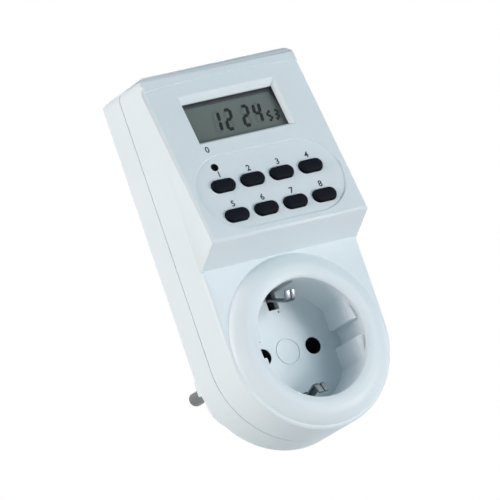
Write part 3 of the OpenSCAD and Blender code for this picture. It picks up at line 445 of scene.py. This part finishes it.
def loft(name, rings, matrix=FACE):
    count = len(rings[0])
    points = [matrix @ Vector(p) for ring in rings for p in ring]
    faces = [(r * count + i, r * count + j, (r + 1) * count + j, (r + 1) * count + i)
             for r in range(len(rings) - 1) for i, j in ((i, (i + 1) % count) for i in range(count))]
    faces += [tuple(range(count)), tuple((len(rings) - 1) * count + i for i in range(count))]
    return mesh_of(name, points, faces)


def shaped(mesh, *steps):
    """Runs modifiers, each a kind and its settings, on a mesh and gives back the plain result."""
    host = stand("work", mesh)
    for kind, settings in steps:
        modifier = host.modifiers.new(kind.lower(), kind)
        for name, value in settings.items():
            setattr(modifier, name, value)
    graph = bpy.context.evaluated_depsgraph_get()
    made = bpy.data.meshes.new_from_object(host.evaluated_get(graph), depsgraph=graph)
    bpy.data.objects.remove(host)
    return made


print("piece helpers ready")

# %% [markdown]
# ## Soft edges on the two covers
# Moulded covers have no sharp edges: every corner of the tool is broken a little. A copy of each solid
# is cleaned into flat faces, and its edges are rounded in groups, found by where they lie, each with
# its own radius in millimetres. The copies stand for the solids, whose meshes stay as they are. A
# Weighted Normal modifier then lets the large faces win, so they shade flat up to their soft edges.
# The rear cover's rim is drawn back a hair, which leaves the thin dark seam that such housings have.

# %% Rounding by place
TO_FACE = FACE.inverted()
PART_Y, BACK_Y = -30.6, -17.3
WELD, FLAT, CORNER = 2e-5, math.radians(0.3), math.radians(28)


def clean_copy(node):
    mesh = nodes[node].data.copy()
    work = bmesh.new()
    work.from_mesh(mesh)
    bmesh.ops.remove_doubles(work, verts=work.verts, dist=WELD)
    bmesh.ops.dissolve_limit(work, angle_limit=FLAT, verts=work.verts, edges=work.edges)
    return mesh, work


def rounded_copy(name, node, groups, material, seam=0.0):
    mesh, work = clean_copy(node)
    for label, radius, steps, test in groups:
        chosen = []
        for edge in work.edges:
            if len(edge.link_faces) != 2 or edge.calc_face_angle() < CORNER:
                continue
            middle = (edge.verts[0].co + edge.verts[1].co) / 2
            if test(middle / MM, TO_FACE @ middle, edge.is_convex):
                chosen.append(edge)
        made = bmesh.ops.bevel(work, geom=chosen, offset=radius * MM, offset_type="OFFSET", segments=steps,
                               profile=0.5, affect="EDGES", clamp_overlap=True, face_strength_mode="AFFECTED")
        print(f"{node}: {label} {len(chosen)} edges, {len(made['faces'])} new faces")
    for vert in work.verts:
        if abs(vert.co.y / MM - PART_Y) < 0.03:
            vert.co.y += seam * MM
    work.to_mesh(mesh)
    work.free()
    obj = piece(name, mesh, material, stands_for=[node], corner=35)
    level = obj.modifiers.new("level_faces", "WEIGHTED_NORMAL")
    level.keep_sharp, level.weight, level.use_face_influence = True, 100, True


print("rounding helpers ready")

# %% The front cover
LIP_S = 55.2


def across_xz(p):
    """Distance from the axis of the socket, on which the plug's axis lies as well."""
    return math.hypot(p.x, p.z)


def at_lip(f):
    """Near the arched line where the lip begins, within the width of the face."""
    return abs(f.x) < 29.6 and LIP_S - 0.3 < f.y < LIP_S + 1.5


rounded_copy("front_cover_soft", "front_cover", [
    ("display rim", 0.3, 3, lambda p, f, out: 31 < f.y < 54 and abs(f.x) < 20 and f.z > -2.3),
    ("edge of the lip", 0.2, 3, lambda p, f, out: out and abs(f.z - 0.5) < 0.1 and at_lip(f)),
    ("foot of the lip", 0.29, 3, lambda p, f, out: not out and abs(f.z) < 0.1 and at_lip(f)),
    ("key panel", 0.18, 2, lambda p, f, out: 1 < f.y < 30 and -0.6 < f.z < 0.1 and abs(f.x) < 28 and
     math.hypot(max(abs(f.x) - 14, 0), f.y - 15.6) > 12.9),
    ("parting line", 0.15, 1, lambda p, f, out: out and p.y > -30.7 and
     (across_xz(p) > 29 if p.z < 0 else abs(p.x) > 29 or p.z > 94)),
    ("foot of the ring", 1.8, 4, lambda p, f, out: not out and abs(p.y + 44.5) < 0.3 and across_xz(p) < 29.5),
    ("foot of the step", 0.7, 3, lambda p, f, out: not out and p.y < -43 and 27 < p.z < 30 and
     across_xz(p) > 29.5),
    ("guide blocks", 0.35, 2, lambda p, f, out: out and across_xz(p) < 19.4 and -47 < p.y < -31 and
     abs(p.z) > 2 and abs(p.x) > 15),
    ("round mark", 0.1, 2, lambda p, f, out: out and -31.1 < p.y < -30.8 and 3 < across_xz(p) < 5.2),
], front_shell)

# %% The rear cover
rounded_copy("rear_cover_soft", "rear_cover", [
    ("parting line", 0.15, 1, lambda p, f, out: out and abs(p.y - PART_Y) < 0.1 and
     (across_xz(p) > 29 if p.z < 0 else abs(p.x) > 29 or p.z > 93.5)),
    ("foot of the boss", 0.4, 3, lambda p, f, out: not out and abs(p.y - BACK_Y) < 0.1 and across_xz(p) < 20),
    ("edges of the boss", 0.3, 2, lambda p, f, out: out and -16 < p.y < 0.1 and 15 < across_xz(p) < 20),
    ("screw holes", 0.2, 2, lambda p, f, out: out and abs(p.y - BACK_Y) < 0.1 and across_xz(p) > 20),
], shell, seam=0.2)

# %% [markdown]
# ## Soft edges inside
# Cast, dipped and drawn parts on the boards have no sharp corners either. Their rims are rounded the
# same way, each by a radius that suits how it is made.

# %% Parts on the boards
for node, radius, material in (("film_capacitor", 0.7, film_yellow), ("relay_cover", 0.5, relay_blue),
                               ("electrolytic_capacitors", 0.6, sleeve), ("backup_cell", 0.35, can_steel),
                               ("chip_cap", 0.5, resin)):
    rounded_copy(node + "_soft", node, [("rims", radius, 3, lambda p, f, out: out)], material)

# %% [markdown]
# ## Rubber buttons
# Each button is a soft capsule that pokes through the face. It could be a plain extrusion, but moulded
# rubber has a full round edge and a slightly crowned top, so the capsule is lofted through rings that
# pull in as they rise. It keeps the flange and foot of the solid behind the face.

# %% Buttons
def capsule(length, width, inset, height, shift=(0, 0), steps=14):
    half, r = (length - width) / 2, width / 2 - inset
    ring = []
    for side in (1, -1):
        for i in range(steps + 1):
            a = -math.pi / 2 + math.pi * i / steps
            ring.append((shift[0] + side * (half + r * math.cos(a)), shift[1] + side * r * math.sin(a), height))
    return ring


FOOT, BRIM, CAP = (7, 3.2), (10.6, 6.4), (8.6, 4.4)
FOOT_OUT, UNDER, OVER, TOP = -6.5, -3.25, -2.25, 0.7
EDGE, CROWN, BREAK = 0.65, 0.12, 0.15
BUTTON_TOP = [(EDGE * (1 - math.sin(a)), TOP - CROWN - EDGE + EDGE * math.cos(a))
              for a in (math.radians(90 - 15 * i) for i in range(7))]
BUTTON_TOP += [(1.0, TOP - 0.055), (1.45, TOP - 0.015), (2.0, TOP)]
for (x, s), name in zip(KEY_AT, ("week", "hour", "minute", "recall", "clock", "timer", "mode", "random")):
    rings = [capsule(*FOOT, 0, FOOT_OUT, (x, s)), capsule(*FOOT, 0, UNDER, (x, s))]
    rings += [capsule(*BRIM, e, h, (x, s)) for e, h in (
        (BREAK, UNDER), (0, UNDER + BREAK), (0, OVER - BREAK), (BREAK, OVER))]
    rings += [capsule(*CAP, 0, OVER, (x, s))]
    rings += [capsule(*CAP, e, h, (x, s)) for e, h in BUTTON_TOP]
    piece("rubber_button_" + name, loft("rubber_button_" + name, rings), rubber, "button_" + name,
          ["button_" + name], corner=50)
print("8 buttons, each", len(rings), "rings")

# %% [markdown]
# ## Segments of the display
# Shapes that repeat or follow a path are grown by Geometry Nodes trees, each with named inputs. A digit
# is up to seven bars: one bar is modelled, and a tree puts it on a cloud of points, one for each lit
# segment. The points carry their turn and length as attributes, and the tree leans the whole row over
# by its Slant.

# %% Trees with named inputs
def new_tree(name, *inputs):
    """An empty Geometry Nodes tree, and a function that adds a node and joins or sets its sockets."""
    tree = bpy.data.node_groups.new(name, "GeometryNodeTree")
    face = tree.interface
    face.new_socket("Geometry", in_out="INPUT", socket_type="NodeSocketGeometry")
    for label, kind in inputs:
        face.new_socket(label, in_out="INPUT", socket_type="NodeSocket" + kind)
    face.new_socket("Geometry", in_out="OUTPUT", socket_type="NodeSocketGeometry")

    def add(kind, settings=None, **links):
        made = tree.nodes.new(kind)
        for name, value in (settings or {}).items():
            setattr(made, name, value)
        for name, value in links.items():
            socket = made.inputs[name.replace("_", " ")]
            if isinstance(value, bpy.types.NodeSocket):
                tree.links.new(value, socket)
            else:
                socket.default_value = value
        return made
    return tree, add


def grown(name, start, tree, **values):
    """Runs a tree on a mesh with its named inputs set, and gives back a plain mesh."""
    host = stand(name + "_start", start)
    modifier = host.modifiers.new("grow", "NODES")
    modifier.node_group = tree
    names = {s.name: s.identifier for s in tree.interface.items_tree if s.in_out == "INPUT"}
    for label, value in values.items():
        modifier[names[label]] = value
    graph = bpy.context.evaluated_depsgraph_get()
    mesh = bpy.data.meshes.new_from_object(host.evaluated_get(graph), depsgraph=graph)
    bpy.data.objects.remove(host)
    mesh.name = name
    return mesh


# %% A tree that repeats a shape on points
def repeat_tree():
    tree, add = new_tree("repeat_on_points", ("Shape", "Object"), ("Finish", "Material"), ("Slant", "Float"))
    given = add("NodeGroupInput").outputs
    shape = add("GeometryNodeObjectInfo", {"transform_space": "ORIGINAL"}, Object=given["Shape"])
    turn = add("GeometryNodeInputNamedAttribute", {"data_type": "FLOAT_VECTOR"}, Name="turn")
    size = add("GeometryNodeInputNamedAttribute", {"data_type": "FLOAT_VECTOR"}, Name="size")
    points = add("GeometryNodeMeshToPoints", Mesh=given["Geometry"])
    spread = add("GeometryNodeInstanceOnPoints", Points=points.outputs[0], Instance=shape.outputs["Geometry"],
                 Rotation=turn.outputs[0], Scale=size.outputs[0])
    real = add("GeometryNodeRealizeInstances", Geometry=spread.outputs[0])
    where = add("GeometryNodeInputPosition")
    parts = add("ShaderNodeSeparateXYZ", Vector=where.outputs[0])
    lean = add("ShaderNodeMath", {"operation": "MULTIPLY"})
    tree.links.new(parts.outputs["Y"], lean.inputs[0])
    tree.links.new(given["Slant"], lean.inputs[1])
    shift = add("ShaderNodeCombineXYZ", X=lean.outputs[0])
    leaned = add("GeometryNodeSetPosition", Geometry=real.outputs[0], Offset=shift.outputs[0])
    done = add("GeometryNodeSetMaterial", Geometry=leaned.outputs[0], Material=given["Finish"])
    add("NodeGroupOutput", Geometry=done.outputs[0])
    return tree


def repeated(name, tree, places, shape, finish, slant=0.0):
    """places: (point, turn, size) for each copy. Gives back a plain mesh."""
    cloud = bpy.data.meshes.new(name + "_points")
    cloud.from_pydata([p for p, _, _ in places], [], [])
    for label, column in (("turn", 1), ("size", 2)):
        layer = cloud.attributes.new(label, "FLOAT_VECTOR", "POINT")
        for i, place in enumerate(places):
            layer.data[i].vector = place[column]
    mesh = grown(name, cloud, tree, Shape=shape, Finish=finish, Slant=slant)
    bpy.data.objects.remove(shape)
    return mesh


REPEAT = repeat_tree()
print("repeat tree has", len(REPEAT.nodes), "nodes")

# %% Digits
SLANT, DISPLAY_OUT = math.tan(math.radians(10.5)), -3.2
LARGE_SIZE, SMALL_SIZE = (37.4, 3.3, 8.0), (37.6, 2.15, 3.9)
LIT = {"1": "bc", "2": "abged", "3": "abgcd", "4": "fgbc", "5": "afgcd"}
BARS = {"a": (0.5, 1, 0), "g": (0.5, 0.5, 0), "d": (0.5, 0, 0),
        "f": (0, 0.75, 1), "b": (1, 0.75, 1), "e": (0, 0.25, 1), "c": (1, 0.25, 1)}


def bar_shape(thick):
    h, t, point = 0.5, thick / 2, 0.14
    outline = [(-h, 0), (-h + point, t), (h - point, t), (h, 0), (h - point, -t), (-h + point, -t)]
    rings = [[(x, y, z) for x, y in outline] for z in (0, 0.04)]
    return stand("bar", loft("bar", rings, Matrix.Identity(4)))


def digit_bars(text, x, foot, width, height, lit):
    thick = 0.27 * width + 0.3
    w, h = width - thick, height - thick
    wanted = LIT[text] if lit else [k for k in BARS if k not in LIT.get(text, "")]
    out = []
    for key in wanted:
        u, v, up = BARS[key]
        long = (h / 2 if up else w) - 0.16
        out.append(((x + thick / 2 + u * w, foot + thick / 2 + v * h, 0),
                    (0, 0, math.pi / 2 * up), (long, 1, 1)))
    return out, thick


def row_of_digits(name, row, size, finish, lit):
    """row: each digit with its place across. size: foot, width and height. lit: the bars that show or not."""
    places = []
    for text, x in row:
        bars, thick = digit_bars(text, x, *size, lit)
        places += bars
    mesh = repeated(name, REPEAT, places, bar_shape(thick), finish, SLANT)
    mesh.transform(FACE @ Matrix.Translation((0, 0, DISPLAY_OUT)))
    piece(name, mesh, finish)


def leaned(x, top):
    return x - SLANT * top


LARGE = [(t, leaned(x, 45.3)) for t, x in (("1", -7.5), ("2", -2.9), ("2", 3.6), ("4", 8.1))]
SMALL = [(t, leaned(x, 41.4)) for t, x in (("5", 12.0), ("3", 14.6))]
row_of_digits("large_digits", LARGE, LARGE_SIZE, segment_ink, True)
row_of_digits("small_digits", SMALL, SMALL_SIZE, segment_ink, True)
row_of_digits("large_digits_unlit", LARGE, LARGE_SIZE, segment_ghost, False)
print("digits made of", sum(len(LIT[t]) for t, _ in LARGE + SMALL), "lit bars")

# %% [markdown]
# ## Printed numbers
# The buttons are numbered in dark ink. Text is turned into a mesh before it is placed, because the
# place has to end up in the vertices.

# %% Numbers on the face
HIGH, LIFT = 2.1, 0.02


def printed(name, words, x, s, lift):
    curve = bpy.data.curves.new(name, "FONT")
    curve.body, curve.size, curve.extrude, curve.offset = words, HIGH * 1.38, 0.012, 0.06
    curve.align_x, curve.align_y = "CENTER", "BOTTOM_BASELINE"
    mesh = shaped(curve)
    mesh.transform(FACE @ Matrix.Translation((x, s, lift)))
    piece(name, mesh, print_ink)


for number, (x, s) in enumerate(KEY_AT, 1):
    printed(f"number_{number}", str(number), x + 0.4, s + 3.2, LIFT - PANEL_DEPTH)
printed("number_0", "0", RESET_AT[0], RESET_AT[1] + 5.3, LIFT)
print("9 numbers printed")

# %% [markdown]
# ## Earth clips
# The earth contact is one strip of sprung metal: flat across the back of the socket floor, then bent
# forward into a clip at top and bottom of the recess. Its bends are round, so the centre line is
# filleted before the strip is swept along it.

# %% Earth clips
def filleted(path, radius, steps=6):
    out = [Vector(path[0])]
    for before, at, after in zip(path, path[1:], path[2:]):
        at = Vector(at)
        a, b = (Vector(before) - at), (Vector(after) - at)
        cut = min(radius, a.length * 0.45, b.length * 0.45)
        start, end = at + a.normalized() * cut, at + b.normalized() * cut
        out += [start.lerp(at, t).lerp(at.lerp(end, t), t) for t in (i / steps for i in range(steps + 1))]
    return out + [Vector(path[-1])]


def bent_sheet(name, path, width, thick, slit=None):
    """A sheet along path (Y, Z in mm) made solid. slit: its two sides and its length from each end."""
    columns = sorted([-width / 2, width / 2] + list(slit[:2] if slit else ()))
    run, count = [0.0], len(columns)
    for a, b in zip(path, path[1:]):
        run.append(run[-1] + (b - a).length)
    points = [(x * MM, p.x * MM, p.y * MM) for p in path for x in columns]
    faces = []
    for r in range(len(path) - 1):
        near_end = slit and min(run[r + 1], run[-1] - run[r]) < slit[2]
        for c in range(count - 1):
            if not (near_end and c == 1):
                k = r * count + c
                faces.append((k, k + 1, k + count + 1, k + count))
    return shaped(mesh_of(name, points, faces),
                  ("SOLIDIFY", {"thickness": thick * MM, "offset": 0, "use_even_offset": True}),
                  ("BEVEL", {"width": 0.1 * MM, "segments": 2, "limit_method": "ANGLE",
                             "angle_limit": math.radians(50)}))


def both_ends(half):
    return [(y, -z) for y, z in reversed(half)] + half


clip_half = [(-24.65, 17.2), (-31.5, 17.2), (-40.9, 14.1), (-41.75, 14.55), (-42.9, 17.2)]
clips = bent_sheet("earth_clips", filleted(both_ends(clip_half), 0.9), 3.5, 0.7, slit=(-0.05, 0.5, 3.4))
piece("earth_clips", clips, nickel, stands_for=["earth_strap_front"])
side_half = [(-23.95, 17.35), (-3.3, 17.35)]
sides = bent_sheet("plug_side_contacts", filleted(both_ends(side_half), 1.2), 6.0, 0.7)
piece("plug_side_contacts", sides, nickel, stands_for=["earth_strap_rear"])
print("earth strips", len(clips.polygons), "and", len(sides.polygons), "faces")

# %% [markdown]
# ## Screws
# Four screws close the housing from behind and eight smaller ones hold the boards. All have the same
# pan head, cross recess and thread, so one shape is turned, its cross is cut out, and the same tree
# that repeated the segments puts a copy wherever the solids have a screw.

# %% One screw, turned and cut
def islands(node, matrix=Matrix.Scale(1 / MM, 4)):
    """The box of each separate body of a node, in millimetres."""
    mesh, work = clean_copy(node)
    left, boxes = set(work.verts), []
    while left:
        stack, found = [left.pop()], []
        while stack:
            vert = stack.pop()
            found.append(matrix @ vert.co)
            for other in (edge.other_vert(vert) for edge in vert.link_edges):
                if other in left:
                    left.remove(other)
                    stack.append(other)
        boxes.append((Vector(min(p[i] for p in found) for i in range(3)),
                      Vector(max(p[i] for p in found) for i in range(3))))
    work.free()
    bpy.data.meshes.remove(mesh)
    return boxes


def turned(name, profile, steps=32, matrix=Matrix.Identity(4)):
    """profile: (radius, height) pairs, turned round Z and closed at both ends."""
    rings = [[(r * math.cos(a), r * math.sin(a), h) for a in (2 * math.pi * i / steps for i in range(steps))]
             for r, h in profile]
    return loft(name, rings, matrix)


def screw_shape(d, head, high, long):
    thread, h = [(d * 0.2, -long), (d * 0.36, -long + 0.8)], -long + 0.9
    while h < -1.4:
        thread += [(d * 0.38, h), (d / 2, h + 0.3), (d / 2, h + 0.36), (d * 0.38, h + 0.66)]
        h += 0.9
    r = head / 2
    body = thread + [(d * 0.42, -0.9), (d * 0.42, 0), (r - 0.1, 0), (r, 0.1), (r, high * 0.35)]
    body += [(r - 0.9 * (1 - math.cos(a)), high * (0.35 + 0.65 * math.sin(a))) for a in
             (math.radians(18 * i) for i in range(1, 6))] + [(0.1, high)]
    arm, wide, deep = head * 0.3, 0.35, high * 0.5
    cross = []
    for turn in (0, math.pi / 2):
        spin = Matrix.Rotation(turn, 4, "Z")
        corners = ((-arm, -wide), (arm, -wide), (arm, wide), (-arm, wide))
        rings = [[spin @ Vector((x * k, y, z)) for x, y in corners]
                 for k, z in ((0.55, high - deep), (1.0, high + 0.1))]
        cross.append(stand("cross_tool", loft("cross_tool", rings, Matrix.Identity(4))))
    cuts = [("BOOLEAN", {"operation": "DIFFERENCE", "solver": "EXACT", "object": tool}) for tool in cross]
    mesh = shaped(turned("screw", body), *cuts)
    for tool in cross:
        bpy.data.objects.remove(tool)
    return stand("screw", mesh)


print("screw shape ready")

# %% All the screws
def set_screws(name, node, d, head, high, long, turn, seat, place):
    """seat gives the point under the head from the box of each screw, in the units of place."""
    boxes = islands(node, place.inverted())
    mesh = repeated(name, REPEAT, [(seat(low, high_end), turn, (1, 1, 1)) for low, high_end in boxes],
                    screw_shape(d, head, high, long), steel)
    mesh.transform(place)
    piece(name, mesh, steel, stands_for=[node])
    print(name, len(boxes), "screws,", len(mesh.polygons), "faces")


IN_MM = Matrix.Scale(MM, 4)
set_screws("closing_screws", "housing_screws", 2.9, 5.0, 1.8, 12.0, (-math.pi / 2, 0, 0),
           lambda a, b: ((a.x + b.x) / 2, b.y - 1.8, (a.z + b.z) / 2), IN_MM)
set_screws("power_screws", "power_board_screws", 2.2, 4.0, 1.2, 5.0, (math.pi / 2, 0, 0),
           lambda a, b: ((a.x + b.x) / 2, a.y + 1.2, (a.z + b.z) / 2), IN_MM)
set_screws("control_screws", "control_board_screws", 2.2, 4.0, 1.2, 5.0, (math.pi, 0, 0),
           lambda a, b: ((a.x + b.x) / 2, (a.y + b.y) / 2, a.z + 1.2), FACE)

# %% [markdown]
# ## The relay coil
# A winding follows a rule, so a tree grows it: a spiral path of so many turns, with a round wire swept
# along it. The bobbin and the iron core inside it are turned shapes. The wire is wound tight, one turn
# beside the next, and stays a little below the flanges.

# %% Winding tree
def winding_tree():
    tree, add = new_tree("winding", ("Turns", "Float"), ("Radius", "Float"), ("Length", "Float"),
                         ("Wire", "Float"), ("Finish", "Material"))
    given = add("NodeGroupInput").outputs
    path = add("GeometryNodeCurveSpiral", Resolution=22, Rotations=given["Turns"], Start_Radius=given["Radius"],
               End_Radius=given["Radius"], Height=given["Length"])
    section = add("GeometryNodeCurvePrimitiveCircle", Resolution=6, Radius=given["Wire"])
    tube = add("GeometryNodeCurveToMesh", Curve=path.outputs[0], Profile_Curve=section.outputs[0],
               Fill_Caps=True)
    real = add("GeometryNodeRealizeInstances", Geometry=tube.outputs[0])
    done = add("GeometryNodeSetMaterial", Geometry=real.outputs[0], Material=given["Finish"])
    add("NodeGroupOutput", Geometry=done.outputs[0])
    return tree


print("winding tree ready")

# %% Coil
COIL_X, COIL_Y, COIL_Z, COIL_L, YOKE = -9.7, -30.9, 37, 15, 1.2
WIRE, TURNS, WOUND = 0.19, 34, 13.0
COIL = Matrix.Translation((COIL_X * MM, COIL_Y * MM, COIL_Z * MM)) @ Matrix.Rotation(math.pi / 2, 4, "Y")
COIL = COIL @ Matrix.Scale(MM, 4)
CORE_R, DRUM_R, FLANGE_R, FLANGE = 1.5, 3.9, 4.5, 0.8
flange = [(FLANGE_R - 0.2, 0), (FLANGE_R, 0.2), (FLANGE_R, FLANGE - 0.2), (FLANGE_R - 0.2, FLANGE),
          (DRUM_R, FLANGE)]
bobbin = [(CORE_R, 0)] + flange + [(r, COIL_L - h) for r, h in reversed(flange)] + [(CORE_R, COIL_L)]
piece("coil_bobbin", turned("coil_bobbin", bobbin, matrix=COIL), relay_base_black, stands_for=["relay_coil"])
core = [(CORE_R, -0.5), (CORE_R, COIL_L + 1.3), (CORE_R - 0.2, COIL_L + 1.5)]
piece("coil_core", turned("coil_core", core, 24, COIL), can_steel)


def yoke_ring(z, arm):
    """The bent iron strip in section: its back plate, and the arm under the coil where there is one."""
    back, end, corner = COIL_X - YOKE, COIL_X + (COIL_L if arm else 0), 0.4 if arm else 0
    front, inner, outer = -35.2, -27.2, -26.2
    return [(back, front, z), (COIL_X, front, z), (COIL_X, inner, z), (end, inner, z), (end, outer, z),
            (back + corner, outer, z), (back, outer - corner, z)]


yoke = [yoke_ring(COIL_Z + z, arm) for z, arm in ((-4, False), (-3, False), (-3, True), (3, True),
                                                  (3, False), (4, False))]
piece("coil_yoke", loft("coil_yoke", yoke, Matrix.Scale(MM, 4)), can_steel)
winding = grown("coil_winding", bpy.data.meshes.new("start"), winding_tree(), Turns=float(TURNS),
                Radius=DRUM_R + WIRE, Length=WOUND, Wire=WIRE, Finish=copper)
winding.transform(COIL @ Matrix.Translation((0, 0, (COIL_L - WOUND) / 2)))
piece("coil_winding", winding, copper, corner=80)
print("winding has", len(winding.polygons), "faces")

# %% [markdown]
# ## Light and floor
# Soft light comes mostly from the left and less from the right, a lamp behind lifts the back, and the
# world gives the rest. The lamps stand above the floor, which would hide them. The background is white
# by its own colour: what the camera, a mirror or clear plastic sees is plain white, and only diffuse
# surfaces are lit by the dimmer world.

# %% World and floor
def camera_white(tree, lit, white):
    path = tree.nodes.new("ShaderNodeLightPath")
    seen = Signal(tree, path.outputs["Is Camera Ray"]) + Signal(tree, path.outputs["Is Glossy Ray"])
    seen = seen + Signal(tree, path.outputs["Is Transmission Ray"])
    mix = tree.nodes.new("ShaderNodeMixShader")
    plug(tree, mix.inputs[0], seen.maths("MINIMUM", seen, 1.0))
    tree.links.new(lit, mix.inputs[1])
    tree.links.new(white, mix.inputs[2])
    return mix.outputs[0]


world = bpy.data.worlds.new("studio")
bpy.context.scene.world = world
world.use_nodes = True
tree = world.node_tree
tree.nodes.clear()
dim, bright = tree.nodes.new("ShaderNodeBackground"), tree.nodes.new("ShaderNodeBackground")
dim.inputs["Color"].default_value, dim.inputs["Strength"].default_value = (0.1, 0.75, 1.0, 1), 0.14
bright.inputs["Strength"].default_value = 1.0
bright.inputs["Color"].default_value = (1, 1, 1, 1)
shown = camera_white(tree, dim.outputs[0], bright.outputs[0])
tree.links.new(shown, tree.nodes.new("ShaderNodeOutputWorld").inputs[0])

FLOOR_Z, FLOOR_HALF = -0.46, 9
f = Finish("pale_floor")
tint = f.blend(f.noise(3, 2), (0.8, 0.8, 0.8, 1), (0.84, 0.84, 0.84, 1))
grey = f.node("ShaderNodeBsdfPrincipled", Base_Color=tint, Roughness=0.9)
glow = f.node("ShaderNodeEmission", Color=(1, 1, 1, 1), Strength=1.0)
f.node("ShaderNodeOutputMaterial", Surface=Signal(f.tree, camera_white(f.tree, grey.socket, glow.socket)))
floor_mesh = bpy.data.meshes.new("floor")
square = ((-1, -1), (1, -1), (1, 1), (-1, 1))
floor_mesh.from_pydata([(x * FLOOR_HALF, y * FLOOR_HALF, FLOOR_Z) for x, y in square], [], [(0, 1, 2, 3)])
floor_mesh.materials.append(f.material)
floor = stand("floor", floor_mesh)
print("white floor at z =", FLOOR_Z, "m")

# %% Lamps
MIDDLE = Vector((0, -0.03, 0.03))


def lamp(name, place, size, watts, colour=(1, 1, 1)):
    light = bpy.data.lights.new(name, "AREA")
    light.shape, light.energy, light.color = "RECTANGLE", watts, colour
    light.size, light.size_y = size
    aim = MIDDLE - Vector(place)
    stand(name, light).matrix_world = (
        Matrix.Translation(place) @ aim.to_track_quat("-Z", "Y").to_matrix().to_4x4())


lamp("left_high", (-1.3, -0.4, 0.9), (0.9, 0.9), 8.6, (1.0, 0.87, 0.88))
lamp("left_flat", (-1.6, -0.1, 0.3), (0.55, 0.55), 14.2, (1.0, 0.916, 0.825))
lamp("right_front", (0.8, -1.35, 0.2), (0.55, 0.55), 5.7, (0.88, 0.962, 1.0))
lamp("right_low", (1.0, -1.1, -0.4), (0.5, 0.1), 10.0, (1.0, 0.926, 0.884))
lamp("behind", (0.9, 1.5, 0.5), (0.9, 0.9), 12.0)
print("5 lamps")
